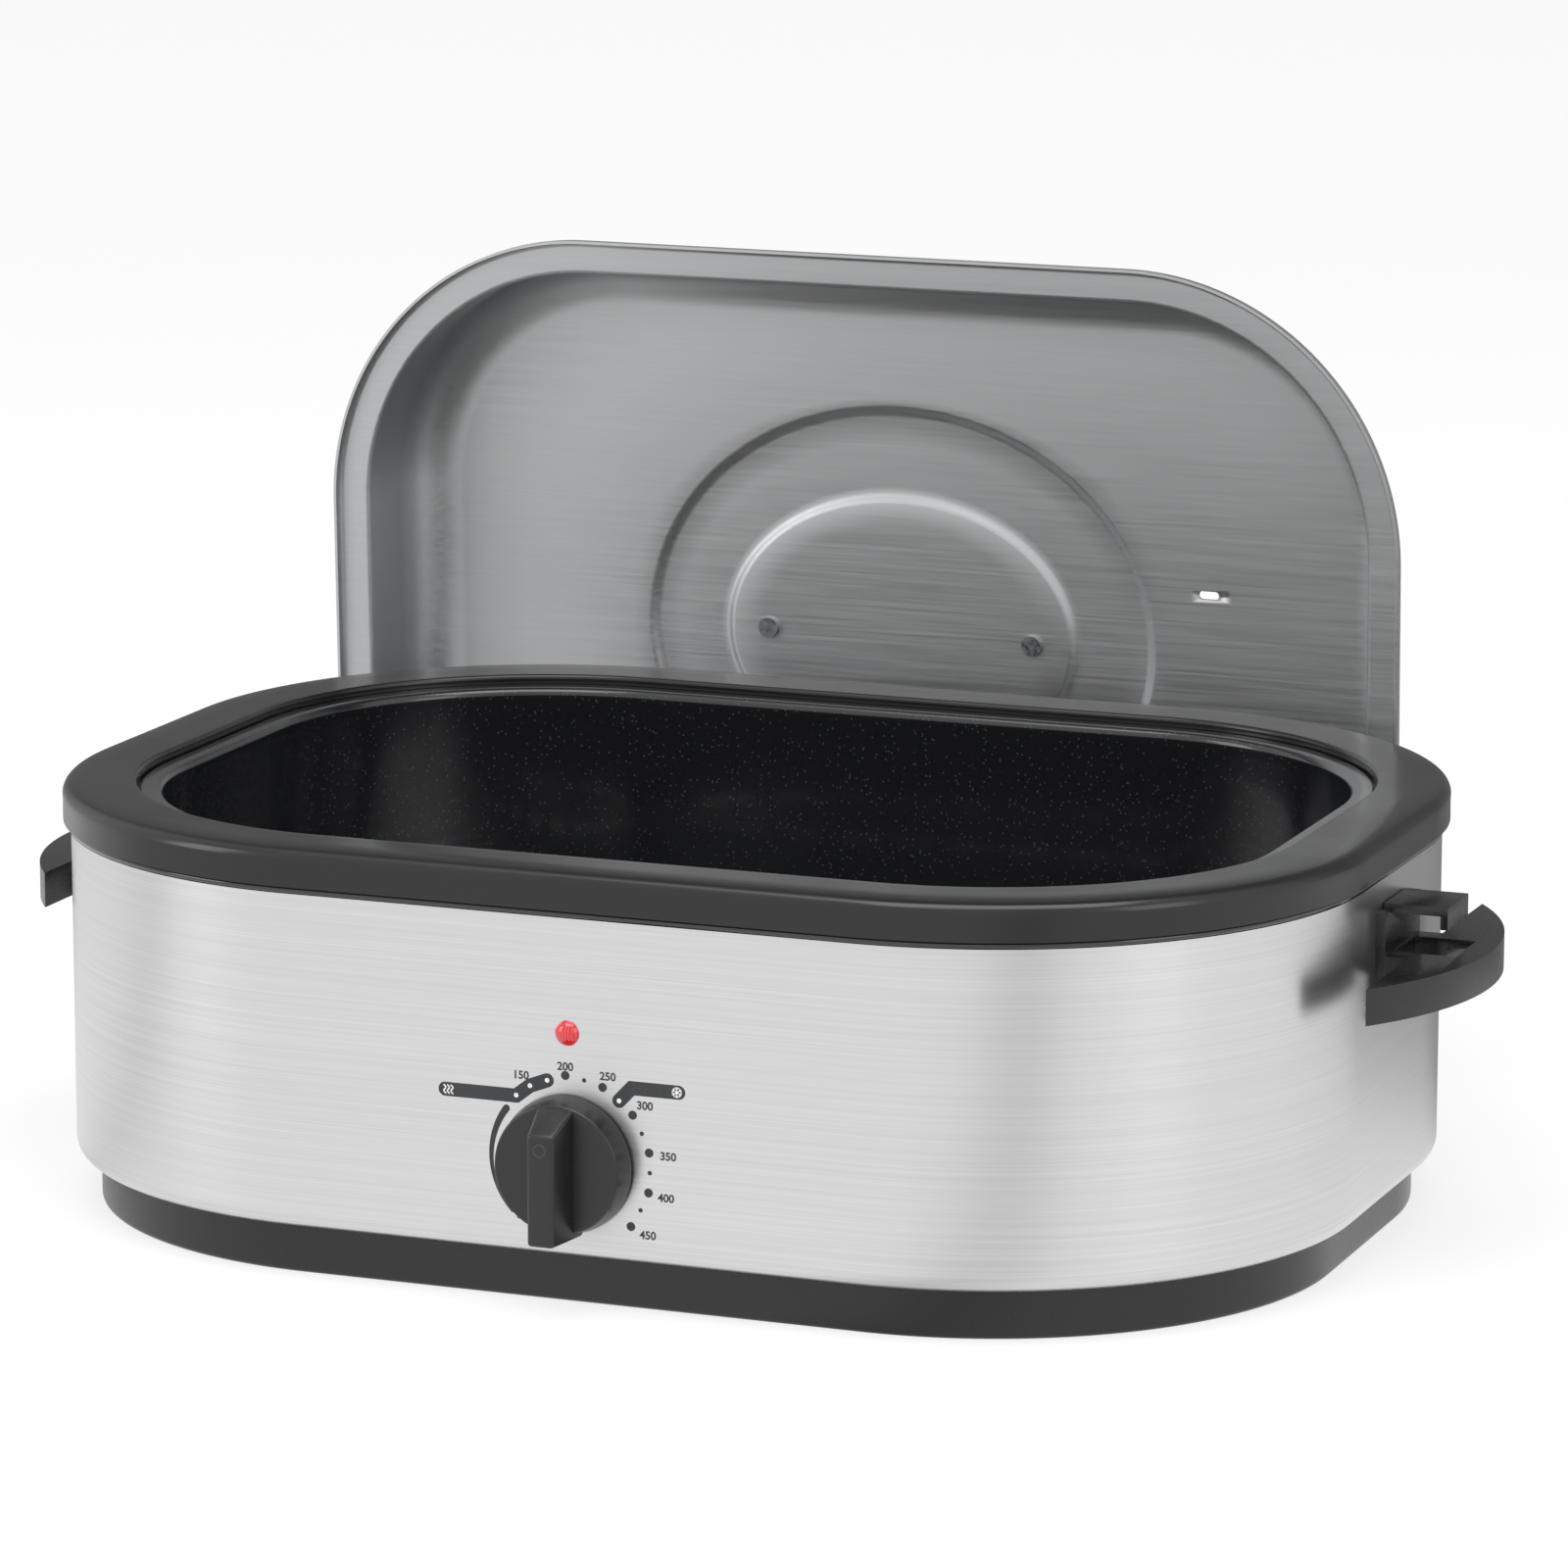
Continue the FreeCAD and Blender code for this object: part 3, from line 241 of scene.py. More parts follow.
# Enamelled pan: near black with faint paler speckles about 2.4 mm apart
def speckledEnamel():
    material, tree, shader = newMaterial("speckled enamel", "1d1e20", 0.0, 0.2, IOR=1.5)
    spots = addNode(tree, "ShaderNodeTexVoronoi", inputs={"Scale": 420.0},
                    links={"Vector": objectPattern(tree, (1, 1, 1))})
    fleck = ramp(tree, spots.outputs["Distance"], 1.0, 0.0, 0.12, 0.22)
    tree.links.new(mixColour(tree, fleck, "141517", "3c3e42"), shader.inputs["Base Color"])
    wave = addNode(tree, "ShaderNodeTexNoise", inputs={"Scale": 180.0, "Detail": 2.0},
                   links={"Vector": objectPattern(tree, (1, 1, 1))})
    shader.inputs["Coat Weight"].default_value = 0.5
    shader.inputs["Coat Roughness"].default_value = 0.08
    bump(tree, shader, wave.outputs["Fac"], 0.06, 0.0004)
    return material


# Moulded phenolic: hard black plastic with a fine sparked grain
def phenolic(name, colour, lighter, roughness, grit=1500.0, depth=0.1):
    material, tree, shader = newMaterial(name, colour, 0.0, roughness, IOR=1.55)
    grain = addNode(tree, "ShaderNodeTexNoise", inputs={"Scale": grit, "Detail": 3.0},
                    links={"Vector": objectPattern(tree, (1, 1, 1))})
    cloud = addNode(tree, "ShaderNodeTexNoise", inputs={"Scale": 30.0, "Detail": 2.0},
                    links={"Vector": objectPattern(tree, (1, 1, 1))})
    tree.links.new(mixColour(tree, cloud.outputs["Fac"], colour, lighter),
                   shader.inputs["Base Color"])
    tree.links.new(ramp(tree, grain.outputs["Fac"], roughness - 0.05, roughness + 0.07, 0.3, 0.7),
                   shader.inputs["Roughness"])
    bump(tree, shader, grain.outputs["Fac"], depth, 0.0001)
    return material


# Plain mill-finish metals of the inner pieces and fasteners
def plainMetal(name, colour, lighter, roughness, scale=400.0):
    material, tree, shader = newMaterial(name, colour, 1.0, roughness)
    cloud = addNode(tree, "ShaderNodeTexNoise", inputs={"Scale": scale, "Detail": 4.0},
                    links={"Vector": objectPattern(tree, (1, 1, 1))})
    tree.links.new(mixColour(tree, cloud.outputs["Fac"], colour, lighter),
                   shader.inputs["Base Color"])
    tree.links.new(ramp(tree, cloud.outputs["Fac"], roughness - 0.06, roughness + 0.08, 0.3, 0.7),
                   shader.inputs["Roughness"])
    bump(tree, shader, cloud.outputs["Fac"], 0.05, 0.0002)
    return material


# Clear red acrylic lens over a lit neon lamp
def redLens():
    material, tree, shader = newMaterial("red acrylic lens", "c3101a", 0.0, 0.12, IOR=1.49)
    rib = addNode(tree, "ShaderNodeTexWave", {"bands_direction": "X"},
                  inputs={"Scale": 260.0, "Distortion": 0.4},
                  links={"Vector": objectPattern(tree, (1, 1, 1))})
    tree.links.new(mixColour(tree, rib.outputs["Fac"], "a80812", "e0303a"),
                   shader.inputs["Base Color"])
    shader.inputs["Coat Weight"].default_value = 1.0
    shader.inputs["Coat Roughness"].default_value = 0.03
    shader.inputs["Emission Color"].default_value = (*linear("c00010"), 1)
    shader.inputs["Emission Strength"].default_value = 0.15
    return material


# Screen-printed ink on the panel
def printInk(name, colour, lighter):
    material, tree, shader = newMaterial(name, colour, 0.0, 0.45, IOR=1.45)
    cloud = addNode(tree, "ShaderNodeTexNoise", inputs={"Scale": 900.0, "Detail": 2.0},
                    links={"Vector": objectPattern(tree, (1, 1, 1))})
    tree.links.new(mixColour(tree, cloud.outputs["Fac"], colour, lighter),
                   shader.inputs["Base Color"])
    return material


def woolBlanket():
    material, tree, shader = newMaterial("glass wool", "d9cc8c", 0.0, 0.95)
    cloud = addNode(tree, "ShaderNodeTexNoise", inputs={"Scale": 240.0, "Detail": 6.0},
                    links={"Vector": objectPattern(tree, (1, 1, 1))})
    tree.links.new(mixColour(tree, cloud.outputs["Fac"], "c6b878", "e6dca6"),
                   shader.inputs["Base Color"])
    bump(tree, shader, cloud.outputs["Fac"], 0.6, 0.002)
    return material


steel = brushedSteel()
lidSteel = satinSteel()
collarEnamel = enamel("black gloss enamel", "0f0f10", "151516", 0.22, coat=0.1)
beadTrim = enamel("polished black trim", "121213", "1a1a1c", 0.12, coat=0.8)
panEnamel = speckledEnamel()
baseBlack = phenolic("satin black phenolic", "070708", "0c0c0d", 0.3)
gripBlack = phenolic("glossy black phenolic", "0e0e0f", "161617", 0.24, 1100.0, 0.05)
knobBlack = phenolic("soft black phenolic", "131315", "1a1a1c", 0.32)
zinc = plainMetal("zinc-plated steel", "a9abad", "c9cbcc", 0.3)
aluminised = plainMetal("aluminised steel", "a4a7aa", "bcbfc2", 0.42, 90.0)
chromeWire = plainMetal("plated wire", "d0d1d3", "dededf", 0.14)
mica = plainMetal("mica and ribbon", "8a7350", "a58c62", 0.5)
steatite = phenolic("steatite", "d8d2c4", "e6e0d4", 0.6)
rubber = phenolic("moulded rubber", "141414", "1c1c1c", 0.7)
lensRed = redLens()
ink = printInk("dark screen print ink", "2b2d30", "3a3c3f")
paleInk = printInk("white screen print ink", "e4e4e4", "f4f4f4")
# knob ring: a grey lighter than the knob's black, painted sheen standing in for the light the ring catches
knob_ring_painted_sheen = phenolic("black phenolic with painted sheen", "2c2d30", "38393c", 0.3)
wool = woolBlanket()

finishes = {
    "outer_wrap": steel, "lid_shell": lidSteel, "collar": collarEnamel, "collar_bead": beadTrim,
    "roasting_pan": panEnamel, "pan_floor": panEnamel, "base_tray": baseBlack, "right_handle": gripBlack,
    "left_handle": gripBlack, "lid_handle": gripBlack, "knob": knobBlack, "lamp_lens": lensRed,
    "lamp_housing": baseBlack, "cord_gland": baseBlack, "gland_nut": baseBlack,
    "base_pads": rubber, "liner": aluminised, "liner_floor": aluminised, "heat_shield": aluminised,
    "heater_band_lower": mica, "heater_band_upper": mica, "insulation_blanket": wool,
    "thermostat_body": steatite, "rack_frame": chromeWire, "rack_wires": chromeWire,
    "rack_lift_loops": chromeWire,
}
for name, thing in nodes.items():
    thing.data.materials.clear()
    thing.data.materials.append(finishes.get(name, zinc))
print("stage 2: materials", len(bpy.data.materials))


# Steel band with its curled lower edge
def makeBand():
    curl = {"outer": 6.0, "wall": 1.0, "lipInset": 17.0}
    low = band["bottom"]
    profile = [(0.0, band["top"])]
    profile += [(0.0, level) for level in np.linspace(150.0, low + 8, 8)]
    profile += arcPoints((curl["outer"], low + curl["outer"]), curl["outer"], 180, 270, 12)
    profile += [(curl["lipInset"], low), (curl["lipInset"], low + curl["wall"])]
    profile += arcPoints((curl["outer"], low + curl["outer"]), curl["outer"] - curl["wall"],
                         270, 180, 8)
    profile += [(curl["wall"], band["top"])]
    piece = ringPiece("steel_band", profile, band, steel, perCorner=72, perSide=16)
    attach(piece, "housing")
    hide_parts("outer_wrap")


# Collar: sloping top, rolled outer wall, inner wall and ledge, with the bead under its skirt
collar = {"skirtLow": 158.5, "reach": -3.2, "inner": -0.3, "roll": 4.9, "top": 174.0,
          "edge": 27.0, "ledgeIn": 33.0, "ledgeTop": 168.0, "ledgeLow": 166.0, "under": 171.0,
          "back": 24.0, "beadLow": 155.6, "beadRound": 1.35}


def makeCollar():
    profile = [(collar["inner"], collar["skirtLow"]), (collar["reach"], collar["skirtLow"])]
    profile += [(collar["reach"], 161.0), (-3.1, 166.0)]
    profile += arcPoints((1.6, 168.6), collar["roll"], 175, 100, 12)
    profile += [(4.0, 173.85), (12.0, collar["top"]), (22.0, 173.7)]
    profile += arcPoints((25.2, 172.0), 1.8, 90, 0, 8)
    profile += [(collar["edge"], collar["ledgeTop"]), (collar["ledgeIn"], collar["ledgeTop"])]
    profile += [(collar["ledgeIn"], collar["ledgeLow"]), (collar["back"], collar["ledgeLow"])]
    profile += [(collar["back"], collar["under"]), (0.5, collar["under"]), (collar["inner"], 167.0)]
    piece = ringPiece("collar_shell", profile, band, collarEnamel, perCorner=72, perSide=16)
    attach(piece, "housing")
    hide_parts("collar")
    trim = [(-0.1, collar["beadLow"]), (-1.2, collar["beadLow"])]
    trim += arcPoints((-0.4, 157.0), collar["beadRound"], 250, 110, 10)
    trim += [(-0.1, 158.4)]
    bead = ringPiece("collar_trim", trim, band, beadTrim, perCorner=72, perSide=16)
    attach(bead, "housing")
    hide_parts("collar_bead")


def dished(name, profile, outline, material, centreTop, centreLow, perCorner=56, perSide=12,
           angle=35.0):
    # a swept profile whose first and last rings are filled down to a middle point each
    grid = sweepRound(profile, outline, perCorner, perSide)
    shares = np.array([0.8, 0.6, 0.4, 0.2])
    first = grid[:, 0, :]
    last = grid[:, -1, :]

    def inward(ring, level):
        middle = np.array([0.0, 0.0, level])
        return middle + (ring - middle)[:, None, :] * shares[None, :, None]

    start = inward(first, centreTop)[:, ::-1, :]
    end = inward(last, centreLow)
    full = np.concatenate([start, grid, end], 1)
    rows, columns = full.shape[:2]
    points = full.reshape(-1, 3)
    faces = gridFaces(rows, columns, True, False)[:, ::-1].tolist()
    top = len(points)
    points = np.concatenate([points, [[0, 0, centreTop], [0, 0, centreLow]]])
    ring = np.arange(rows)
    after = (ring + 1) % rows
    faces += np.stack([np.full(rows, top), ring * columns, after * columns], -1)[:, ::-1].tolist()
    tail = columns - 1
    faces += np.stack([np.full(rows, top + 1), after * columns + tail, ring * columns + tail],
                      -1)[:, ::-1].tolist()
    return newObject(name, points, faces, material, angle)


# Roasting pan: flat flange, straight walls with round feet, level floor
pan = {"inner": 37.7, "outer": 36.2, "floor": 47.5, "under": 46.0, "footInset": 56.2,
       "footLevel": 66.0, "roundIn": 18.5, "roundOut": 20.0, "flangeTop": 169.9,
       "flangeLow": 168.3, "middle": 120.0}


def makePan():
    foot = (pan["footInset"], pan["footLevel"])
    profile = [(56.0, pan["floor"])]
    profile += arcPoints(foot, pan["roundIn"], 270, 180, 14)
    profile += [(pan["inner"], pan["middle"]), (pan["inner"], 163.5)]
    profile += arcPoints((34.5, 166.6), 3.2, 0, 80, 8)
    profile += [(33.0, pan["flangeTop"]), (29.0, pan["flangeTop"])]
    profile += arcPoints((28.8, 169.1), 0.8, 90, 270, 8)
    profile += [(pan["outer"], pan["flangeLow"]), (pan["outer"], pan["middle"])]
    profile += arcPoints(foot, pan["roundOut"], 180, 270, 14)
    profile += [(56.4, pan["under"])]
    piece = dished("pan_shell", profile, band, panEnamel, pan["floor"], pan["under"])
    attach(piece, "pan")
    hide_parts("roasting_pan", "pan_floor")


# Base: shallow black tray with a rolled foot
base = {"outer": 10.0, "inner": 12.5, "top": 20.4, "floor": 2.5, "round": 2.0}


def makeBase():
    profile = [(14.0, base["floor"]), (base["inner"], 4.0), (base["inner"], base["top"])]
    profile += [(base["outer"], base["top"]), (base["outer"], 16.0), (base["outer"], 4.0)]
    profile += arcPoints((base["outer"] + base["round"], base["round"]), base["round"], 180, 270, 6)
    profile += [(16.0, 0.0)]
    piece = dished("base_shell", profile, band, baseBlack, base["floor"], 0.0)
    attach(piece, "housing")
    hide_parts("base_tray")


# Lid: rim, lip, domed wall and a floor with two pressed ovals, in its own flat frame
lidPlan = {"lip": 6.0, "flange": 14.0, "high": 60.0, "wall": 1.2, "shoulder": 24.0, "rimRound": 3.0,
           "ovalHalf": 118.0, "ovalWide": 102.0, "ovalRise": 2.4, "innerHalf": 82.0,
           "innerWide": 63.0, "innerSink": 2.0, "ventX": 143.5, "ventY": -28.0,
           "ventHalf": 4.6, "ventWide": 1.8}


def lidMatrix():
    # turned about X to stand on its long edge, then moved behind the body
    lean = math.radians(lid["lean"])
    rise = lid["halfY"] * math.cos(lean) + lid["clear"]
    turn = Matrix.Rotation(math.radians(-90) + lean, 4, "X")
    x, y, _ = lid["centre"]
    return Matrix.Translation((x, y, rise)) @ turn


def placed(points, matrix):
    # every point times the matrix
    flat = np.asarray(points, dtype=float).reshape(-1, 3)
    full = np.concatenate([flat, np.ones((len(flat), 1))], 1)
    return (full @ np.array(matrix).T)[:, :3]


def lidSide(wall):
    # one face of the sheet as (inset, level) from the lip over the flange to the wall's shoulder;
    # wall is how far that face lies inside the outer one
    shoulder = lidPlan["shoulder"] - wall
    edge = lidPlan["flange"] + wall
    top = lidPlan["high"] - wall
    profile = [(wall, 0.0), (wall, lidPlan["lip"] - wall - 3.0)]
    bend = lidPlan["rimRound"] - wall * 0.5
    profile += [(wall + bend * (1 - math.cos(a)), lidPlan["lip"] - wall - bend * (1 - math.sin(a)))
                for a in np.linspace(0.1, math.pi / 2, 8)]
    profile += [(edge - 2.0, lidPlan["lip"] - wall), (edge - 0.8, lidPlan["lip"] - wall + 0.2)]
    profile += [(edge, lidPlan["lip"] - wall + 1.2), (edge, top - shoulder)]
    profile += [(edge + shoulder * (1 - math.cos(a)), top - shoulder * (1 - math.sin(a)))
                for a in np.linspace(0.08, math.pi / 2, 20)]
    return profile


def lidFace(wall):
    # swept rim and wall, then rings that pass from the wall's foot through both ovals
    rim = sweepRound(lidSide(wall), lid, 56, 28)
    level = lidPlan["high"] - wall
    edge = rim[:, -1, :]
    angle = np.arctan2(edge[:, 1], edge[:, 0])

    def oval(half, wide, height):
        a = half - wall
        b = wide - wall
        reach = a * b / np.hypot(b * np.cos(angle), a * np.sin(angle))
        return np.stack([reach * np.cos(angle), reach * np.sin(angle),
                         np.full_like(angle, height)], -1)

    rise = level + lidPlan["ovalRise"]
    low = rise - lidPlan["innerSink"]
    rings = [edge]
    outer = oval(lidPlan["ovalHalf"] + 3.0, lidPlan["ovalWide"] + 3.0, level)
    rings += [edge + (outer - edge) * share for share in (0.2, 0.4, 0.6, 0.8, 0.92)]
    step = [(3.0, 0.0), (2.0, 0.06), (1.0, 0.3), (0.0, 0.6), (-1.2, 0.88), (-2.6, 1.0)]
    rings += [oval(lidPlan["ovalHalf"] + out, lidPlan["ovalWide"] + out,
                   level + lidPlan["ovalRise"] * share) for out, share in step]
    rings += [oval(lidPlan["innerHalf"] + out, lidPlan["innerWide"] + out, rise)
              for out in (24.0, 14.0, 5.0)]
    rings += [oval(lidPlan["innerHalf"] + out, lidPlan["innerWide"] + out,
                   rise - lidPlan["innerSink"] * share)
              for out, share in ((2.4, 0.0), (1.2, 0.15), (0.0, 0.5), (-1.2, 0.85), (-2.4, 1.0))]
    rings += [oval(lidPlan["innerHalf"] * share, lidPlan["innerWide"] * share, low)
              for share in (0.8, 0.6, 0.4, 0.2)]
    floor = np.stack(rings[1:], 1)
    return np.concatenate([rim, floor], 1), low


def makeLid():
    # outer and inner faces joined at the lip, closed at the middle, then the vent slot cut
    outside, outLow = lidFace(0.0)
    inside, inLow = lidFace(lidPlan["wall"])
    full = np.concatenate([inside[:, ::-1, :], outside], 1)
    rows, columns = full.shape[:2]
    points = full.reshape(-1, 3)
    faces = gridFaces(rows, columns, True, False).tolist()
    middle = len(points)
    points = np.concatenate([points, [[0, 0, inLow], [0, 0, outLow]]])
    ring = np.arange(rows)
    after = (ring + 1) % rows
    tail = columns - 1
    faces += np.stack([np.full(rows, middle), ring * columns, after * columns], -1)[:, ::-1].tolist()
    faces += np.stack([np.full(rows, middle + 1), after * columns + tail, ring * columns + tail],
                      -1)[:, ::-1].tolist()
    matrix = lidMatrix()
    sheet = newObject("lid_sheet", placed(points, matrix), faces, lidSteel, 50.0)
    slot = ribbon([(lidPlan["ventX"] - lidPlan["ventHalf"] + 1.8, lidPlan["ventY"]),
                   (lidPlan["ventX"] + lidPlan["ventHalf"] - 1.8, lidPlan["ventY"])],
                  2 * lidPlan["ventWide"])
    slotPoints, slotFaces = thick(slot, lidPlan["high"] - 10, lidPlan["high"] + 5)
    cutter = newObject("lid_slot", placed(slotPoints, matrix), slotFaces, None)
    carve(sheet, [cutter])
    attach(sheet, "lid")
    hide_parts("lid_shell")


# Shapes drawn flat: ribbons, discs and plates

def ribbon(points, width, taper=None, capSteps=8):
    # left and right edges along a path; round ends come from a width that shrinks as a circle
    path = np.asarray(points, dtype=float)
    start = (path[0] - path[1]) / np.linalg.norm(path[0] - path[1])
    finish = (path[-1] - path[-2]) / np.linalg.norm(path[-1] - path[-2])
    widths = np.full(len(path), width) if taper is None else np.asarray(taper, dtype=float)
    angle = np.linspace(0.12, math.pi / 2, capSteps)
    head = path[0] + start * np.cos(angle)[:, None] * widths[0] / 2
    foot = path[-1] + finish * np.sin(math.pi / 2 - angle[::-1])[:, None] * widths[-1] / 2
    line = np.concatenate([head[:-1], path, foot[1:]])
    span = np.concatenate([np.sin(angle[:-1]) * widths[0], widths,
                           np.sin(angle[::-1][1:]) * widths[-1]])
    ahead = np.empty_like(line)
    steps = np.diff(line, axis=0)
    steps = steps / np.linalg.norm(steps, axis=1)[:, None]
    ahead[0] = steps[0]
    ahead[-1] = steps[-1]
    ahead[1:-1] = steps[:-1] + steps[1:]
    ahead = ahead / np.linalg.norm(ahead, axis=1)[:, None]
    side = np.stack([-ahead[:, 1], ahead[:, 0]], -1)
    bend = np.ones(len(line))
    bend[1:-1] = np.einsum("ij,ij->i", ahead[1:-1], steps[:-1])
    reach = side * (span / 2 / bend)[:, None]
    return line + reach, line - reach


def thick(edges, low, high):
    # closed strip between two levels, built from a ribbon's edges
    left, right = edges
    count = len(left)
    rows = [np.c_[left, np.full(count, low)], np.c_[right, np.full(count, low)],
            np.c_[right, np.full(count, high)], np.c_[left, np.full(count, high)]]
    points = np.stack(rows, 1).reshape(-1, 3)
    faces = gridFaces(count, 4, False, True).tolist()
    last = 4 * (count - 1)
    faces += [[3, 2, 1, 0], [last, last + 1, last + 2, last + 3]]
    return points, faces


def plate(outline, low, high):
    # closed prism over a flat outline given counter-clockwise
    outline = np.asarray(outline, dtype=float)
    count = len(outline)
    points = np.concatenate([np.c_[outline, np.full(count, low)], np.c_[outline, np.full(count, high)]])
    ring = np.arange(count)
    after = (ring + 1) % count
    faces = np.stack([ring, after, after + count, ring + count], -1).tolist()
    faces += [ring[::-1].tolist(), (ring + count).tolist()]
    return points, faces


def block(x, y, z):
    # prism over a rectangle
    return plate([(x[0], y[0]), (x[1], y[0]), (x[1], y[1]), (x[0], y[1])], *z)


def freshMesh(thing):
    # mesh as the modifiers leave it
    graph = bpy.context.evaluated_depsgraph_get()
    return bpy.data.meshes.new_from_object(thing.evaluated_get(graph))


def carve(thing, cutters=(), additions=()):
    # exact union with the additions, then difference with the cutters
    for operation, tools in (("UNION", additions), ("DIFFERENCE", cutters)):
        for tool in tools:
            step = thing.modifiers.new(operation, "BOOLEAN")
            step.operation = operation
            step.solver = "EXACT"
            step.object = tool
            bpy.context.view_layer.update()
            mesh = freshMesh(thing)
            thing.modifiers.clear()
            thing.data = mesh
            bpy.data.objects.remove(tool)


# Edge rounding: least angle of a sharp edge, share of the width elsewhere, steps, smooth limit
rounding = {"sharp": 28, "share": 0.3, "segments": 4, "smooth": 40}


def softEdges(thing, width, test):
    # bevel weight 1 on the sharp edges where the test holds and a smaller share on the others;
    # the bevel is clamped so that no faces cross
    mesh = thing.data
    work = bmesh.new()
    work.from_mesh(mesh)
    bmesh.ops.remove_doubles(work, verts=work.verts, dist=1e-6)
    layer = work.edges.layers.float.new("bevel_weight_edge")
    for edge in work.edges:
        if len(edge.link_faces) != 2 or edge.calc_face_angle(0) < math.radians(rounding["sharp"]):
            continue
        middle = (edge.verts[0].co + edge.verts[1].co) / 2 / mm
        edge[layer] = 1.0 if test(middle) else rounding["share"]
    work.to_mesh(mesh)
    work.free()
    step = thing.modifiers.new("edges", "BEVEL")
    step.limit_method = "WEIGHT"
    step.width = width * mm
    step.segments = rounding["segments"]
    step.use_clamp_overlap = True
    bpy.context.view_layer.update()
    fresh = freshMesh(thing)
    thing.modifiers.clear()
    thing.data = fresh
    fresh.polygons.foreach_set("use_smooth", np.ones(len(fresh.polygons), dtype=bool))
    fresh.set_sharp_from_angle(angle=math.radians(rounding["smooth"]))


# Side handle: half-moon plate with a skirt, mount, slot and lid rest
grip = {"top": 125.8, "skirt": 14.6, "plate": 3.6, "wall": 4.5, "chord": 284.0, "reach": 311.0,
        "half": 81.0, "round": 2.4, "neckHalf": 24.0, "slotHalf": 14.5, "slotIn": 275.5,
        "slotOut": 300.5, "face": 270.5, "mount": 4.0, "mountLow": 99.0, "mountHigh": 143.0,
        "restTop": 145.0, "restThick": 3.6, "restOut": 297.0, "hook": 3.0, "hookDrop": 9.0}


def gripOutline(inset):
    # circle through both ends of the chord and the furthest point
    chord = grip["chord"] + inset
    reach = grip["reach"] - inset
    half = grip["half"] - 1.6 * inset
    rise = reach - chord
    radius = (half * half + rise * rise) / (2 * rise)
    swing = math.asin(half / radius)
    angle = np.linspace(-swing, swing, 90)
    return np.stack([reach - radius + radius * np.cos(angle), radius * np.sin(angle)], -1)


def makeHandle(name, node, side):
    # half-moon less its hollow and slot, with mount, neck, rest and hook added; mirrored for left
    top = grip["top"]
    low = top - grip["skirt"]
    face = grip["face"]
    parts = {"body": plate(gripOutline(0.0), low, top),
             "hollow": plate(gripOutline(grip["wall"]), low - 2, top - grip["plate"]),
             "neck": block((face, grip["chord"] + 1), (-grip["neckHalf"], grip["neckHalf"]),
                           (top - grip["plate"] - 4, top - 0.01)),
             "mount": block((face, face + grip["mount"]), (-grip["neckHalf"], grip["neckHalf"]),
                            (grip["mountLow"], grip["mountHigh"])),
             "slot": block((grip["slotIn"], grip["slotOut"]), (-grip["slotHalf"], grip["slotHalf"]),
                           (low - 4, top + 1)),
             "rest": block((face + 0.5, grip["restOut"]), (-grip["slotHalf"], grip["slotHalf"]),
                           (grip["restTop"] - grip["restThick"], grip["restTop"])),
             "hook": block((grip["restOut"] - grip["hook"], grip["restOut"] - 0.01),
                           (-grip["slotHalf"] + 0.01, grip["slotHalf"] - 0.01),
                           (grip["restTop"] - grip["hookDrop"], grip["restTop"] - 0.6))}
    made = {key: newObject(name + "_" + key, points, faces, None)
            for key, (points, faces) in parts.items()}
    thing = made["body"]
    carve(thing, [made["hollow"]])
    carve(thing, [made["slot"]], [made["neck"], made["mount"]])
    carve(thing, [], [made["rest"], made["hook"]])
    softEdges(thing, grip["round"], lambda p: p.z > top - 0.05 and p.z < top + 0.05
              and p.x > grip["chord"] + 0.3 and abs(p.x - grip["slotOut"]) > 0.4
              and not (abs(p.y) < grip["slotHalf"] + 0.3 and p.x < grip["slotOut"] + 0.4))
    mesh = thing.data
    if side < 0:
        mesh.transform(Matrix.Scale(-1, 4, (1, 0, 0)))
        mesh.flip_normals()
    thing.name = name
    mesh.materials.clear()
    mesh.materials.append(gripBlack)
    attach(thing, "housing")
    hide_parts(node)


# Knob: tapering skirt, flat face, tapering ridge with a sloping upper end and a small ring
knob = {"level": 58.4, "face": -200.3, "base": 27.3, "front": 25.0, "depth": 11.5, "high": 27.0,
        "ridgeFront": 5.3, "ridgeBase": 7.6, "low": -27.0, "toe": 25.0, "top": 17.0,
        "ring": 2.4, "ringUp": 11.5}


def facing(points):
    # plan x, plan y and height become x, z and distance towards the front
    points = np.asarray(points, dtype=float)
    return np.stack([points[:, 0], knob["face"] - points[:, 2], knob["level"] + points[:, 1]], -1)


def lathe(profile, count=96):
    # radius and height turned round the axis, open ends closed by their first and last points
    profile = np.asarray(profile, dtype=float)
    angle = np.linspace(0, 2 * math.pi, count, endpoint=False)
    grid = np.stack([profile[None, :, 0] * np.cos(angle)[:, None],
                     profile[None, :, 0] * np.sin(angle)[:, None],
                     np.broadcast_to(profile[:, 1], (count, len(profile)))], -1)
    points = grid.reshape(-1, 3)
    columns = len(profile)
    faces = gridFaces(count, columns, True, False).tolist()
    ring = np.arange(count)
    faces += [(ring[::-1] * columns).tolist(), (ring * columns + columns - 1).tolist()]
    return points, faces


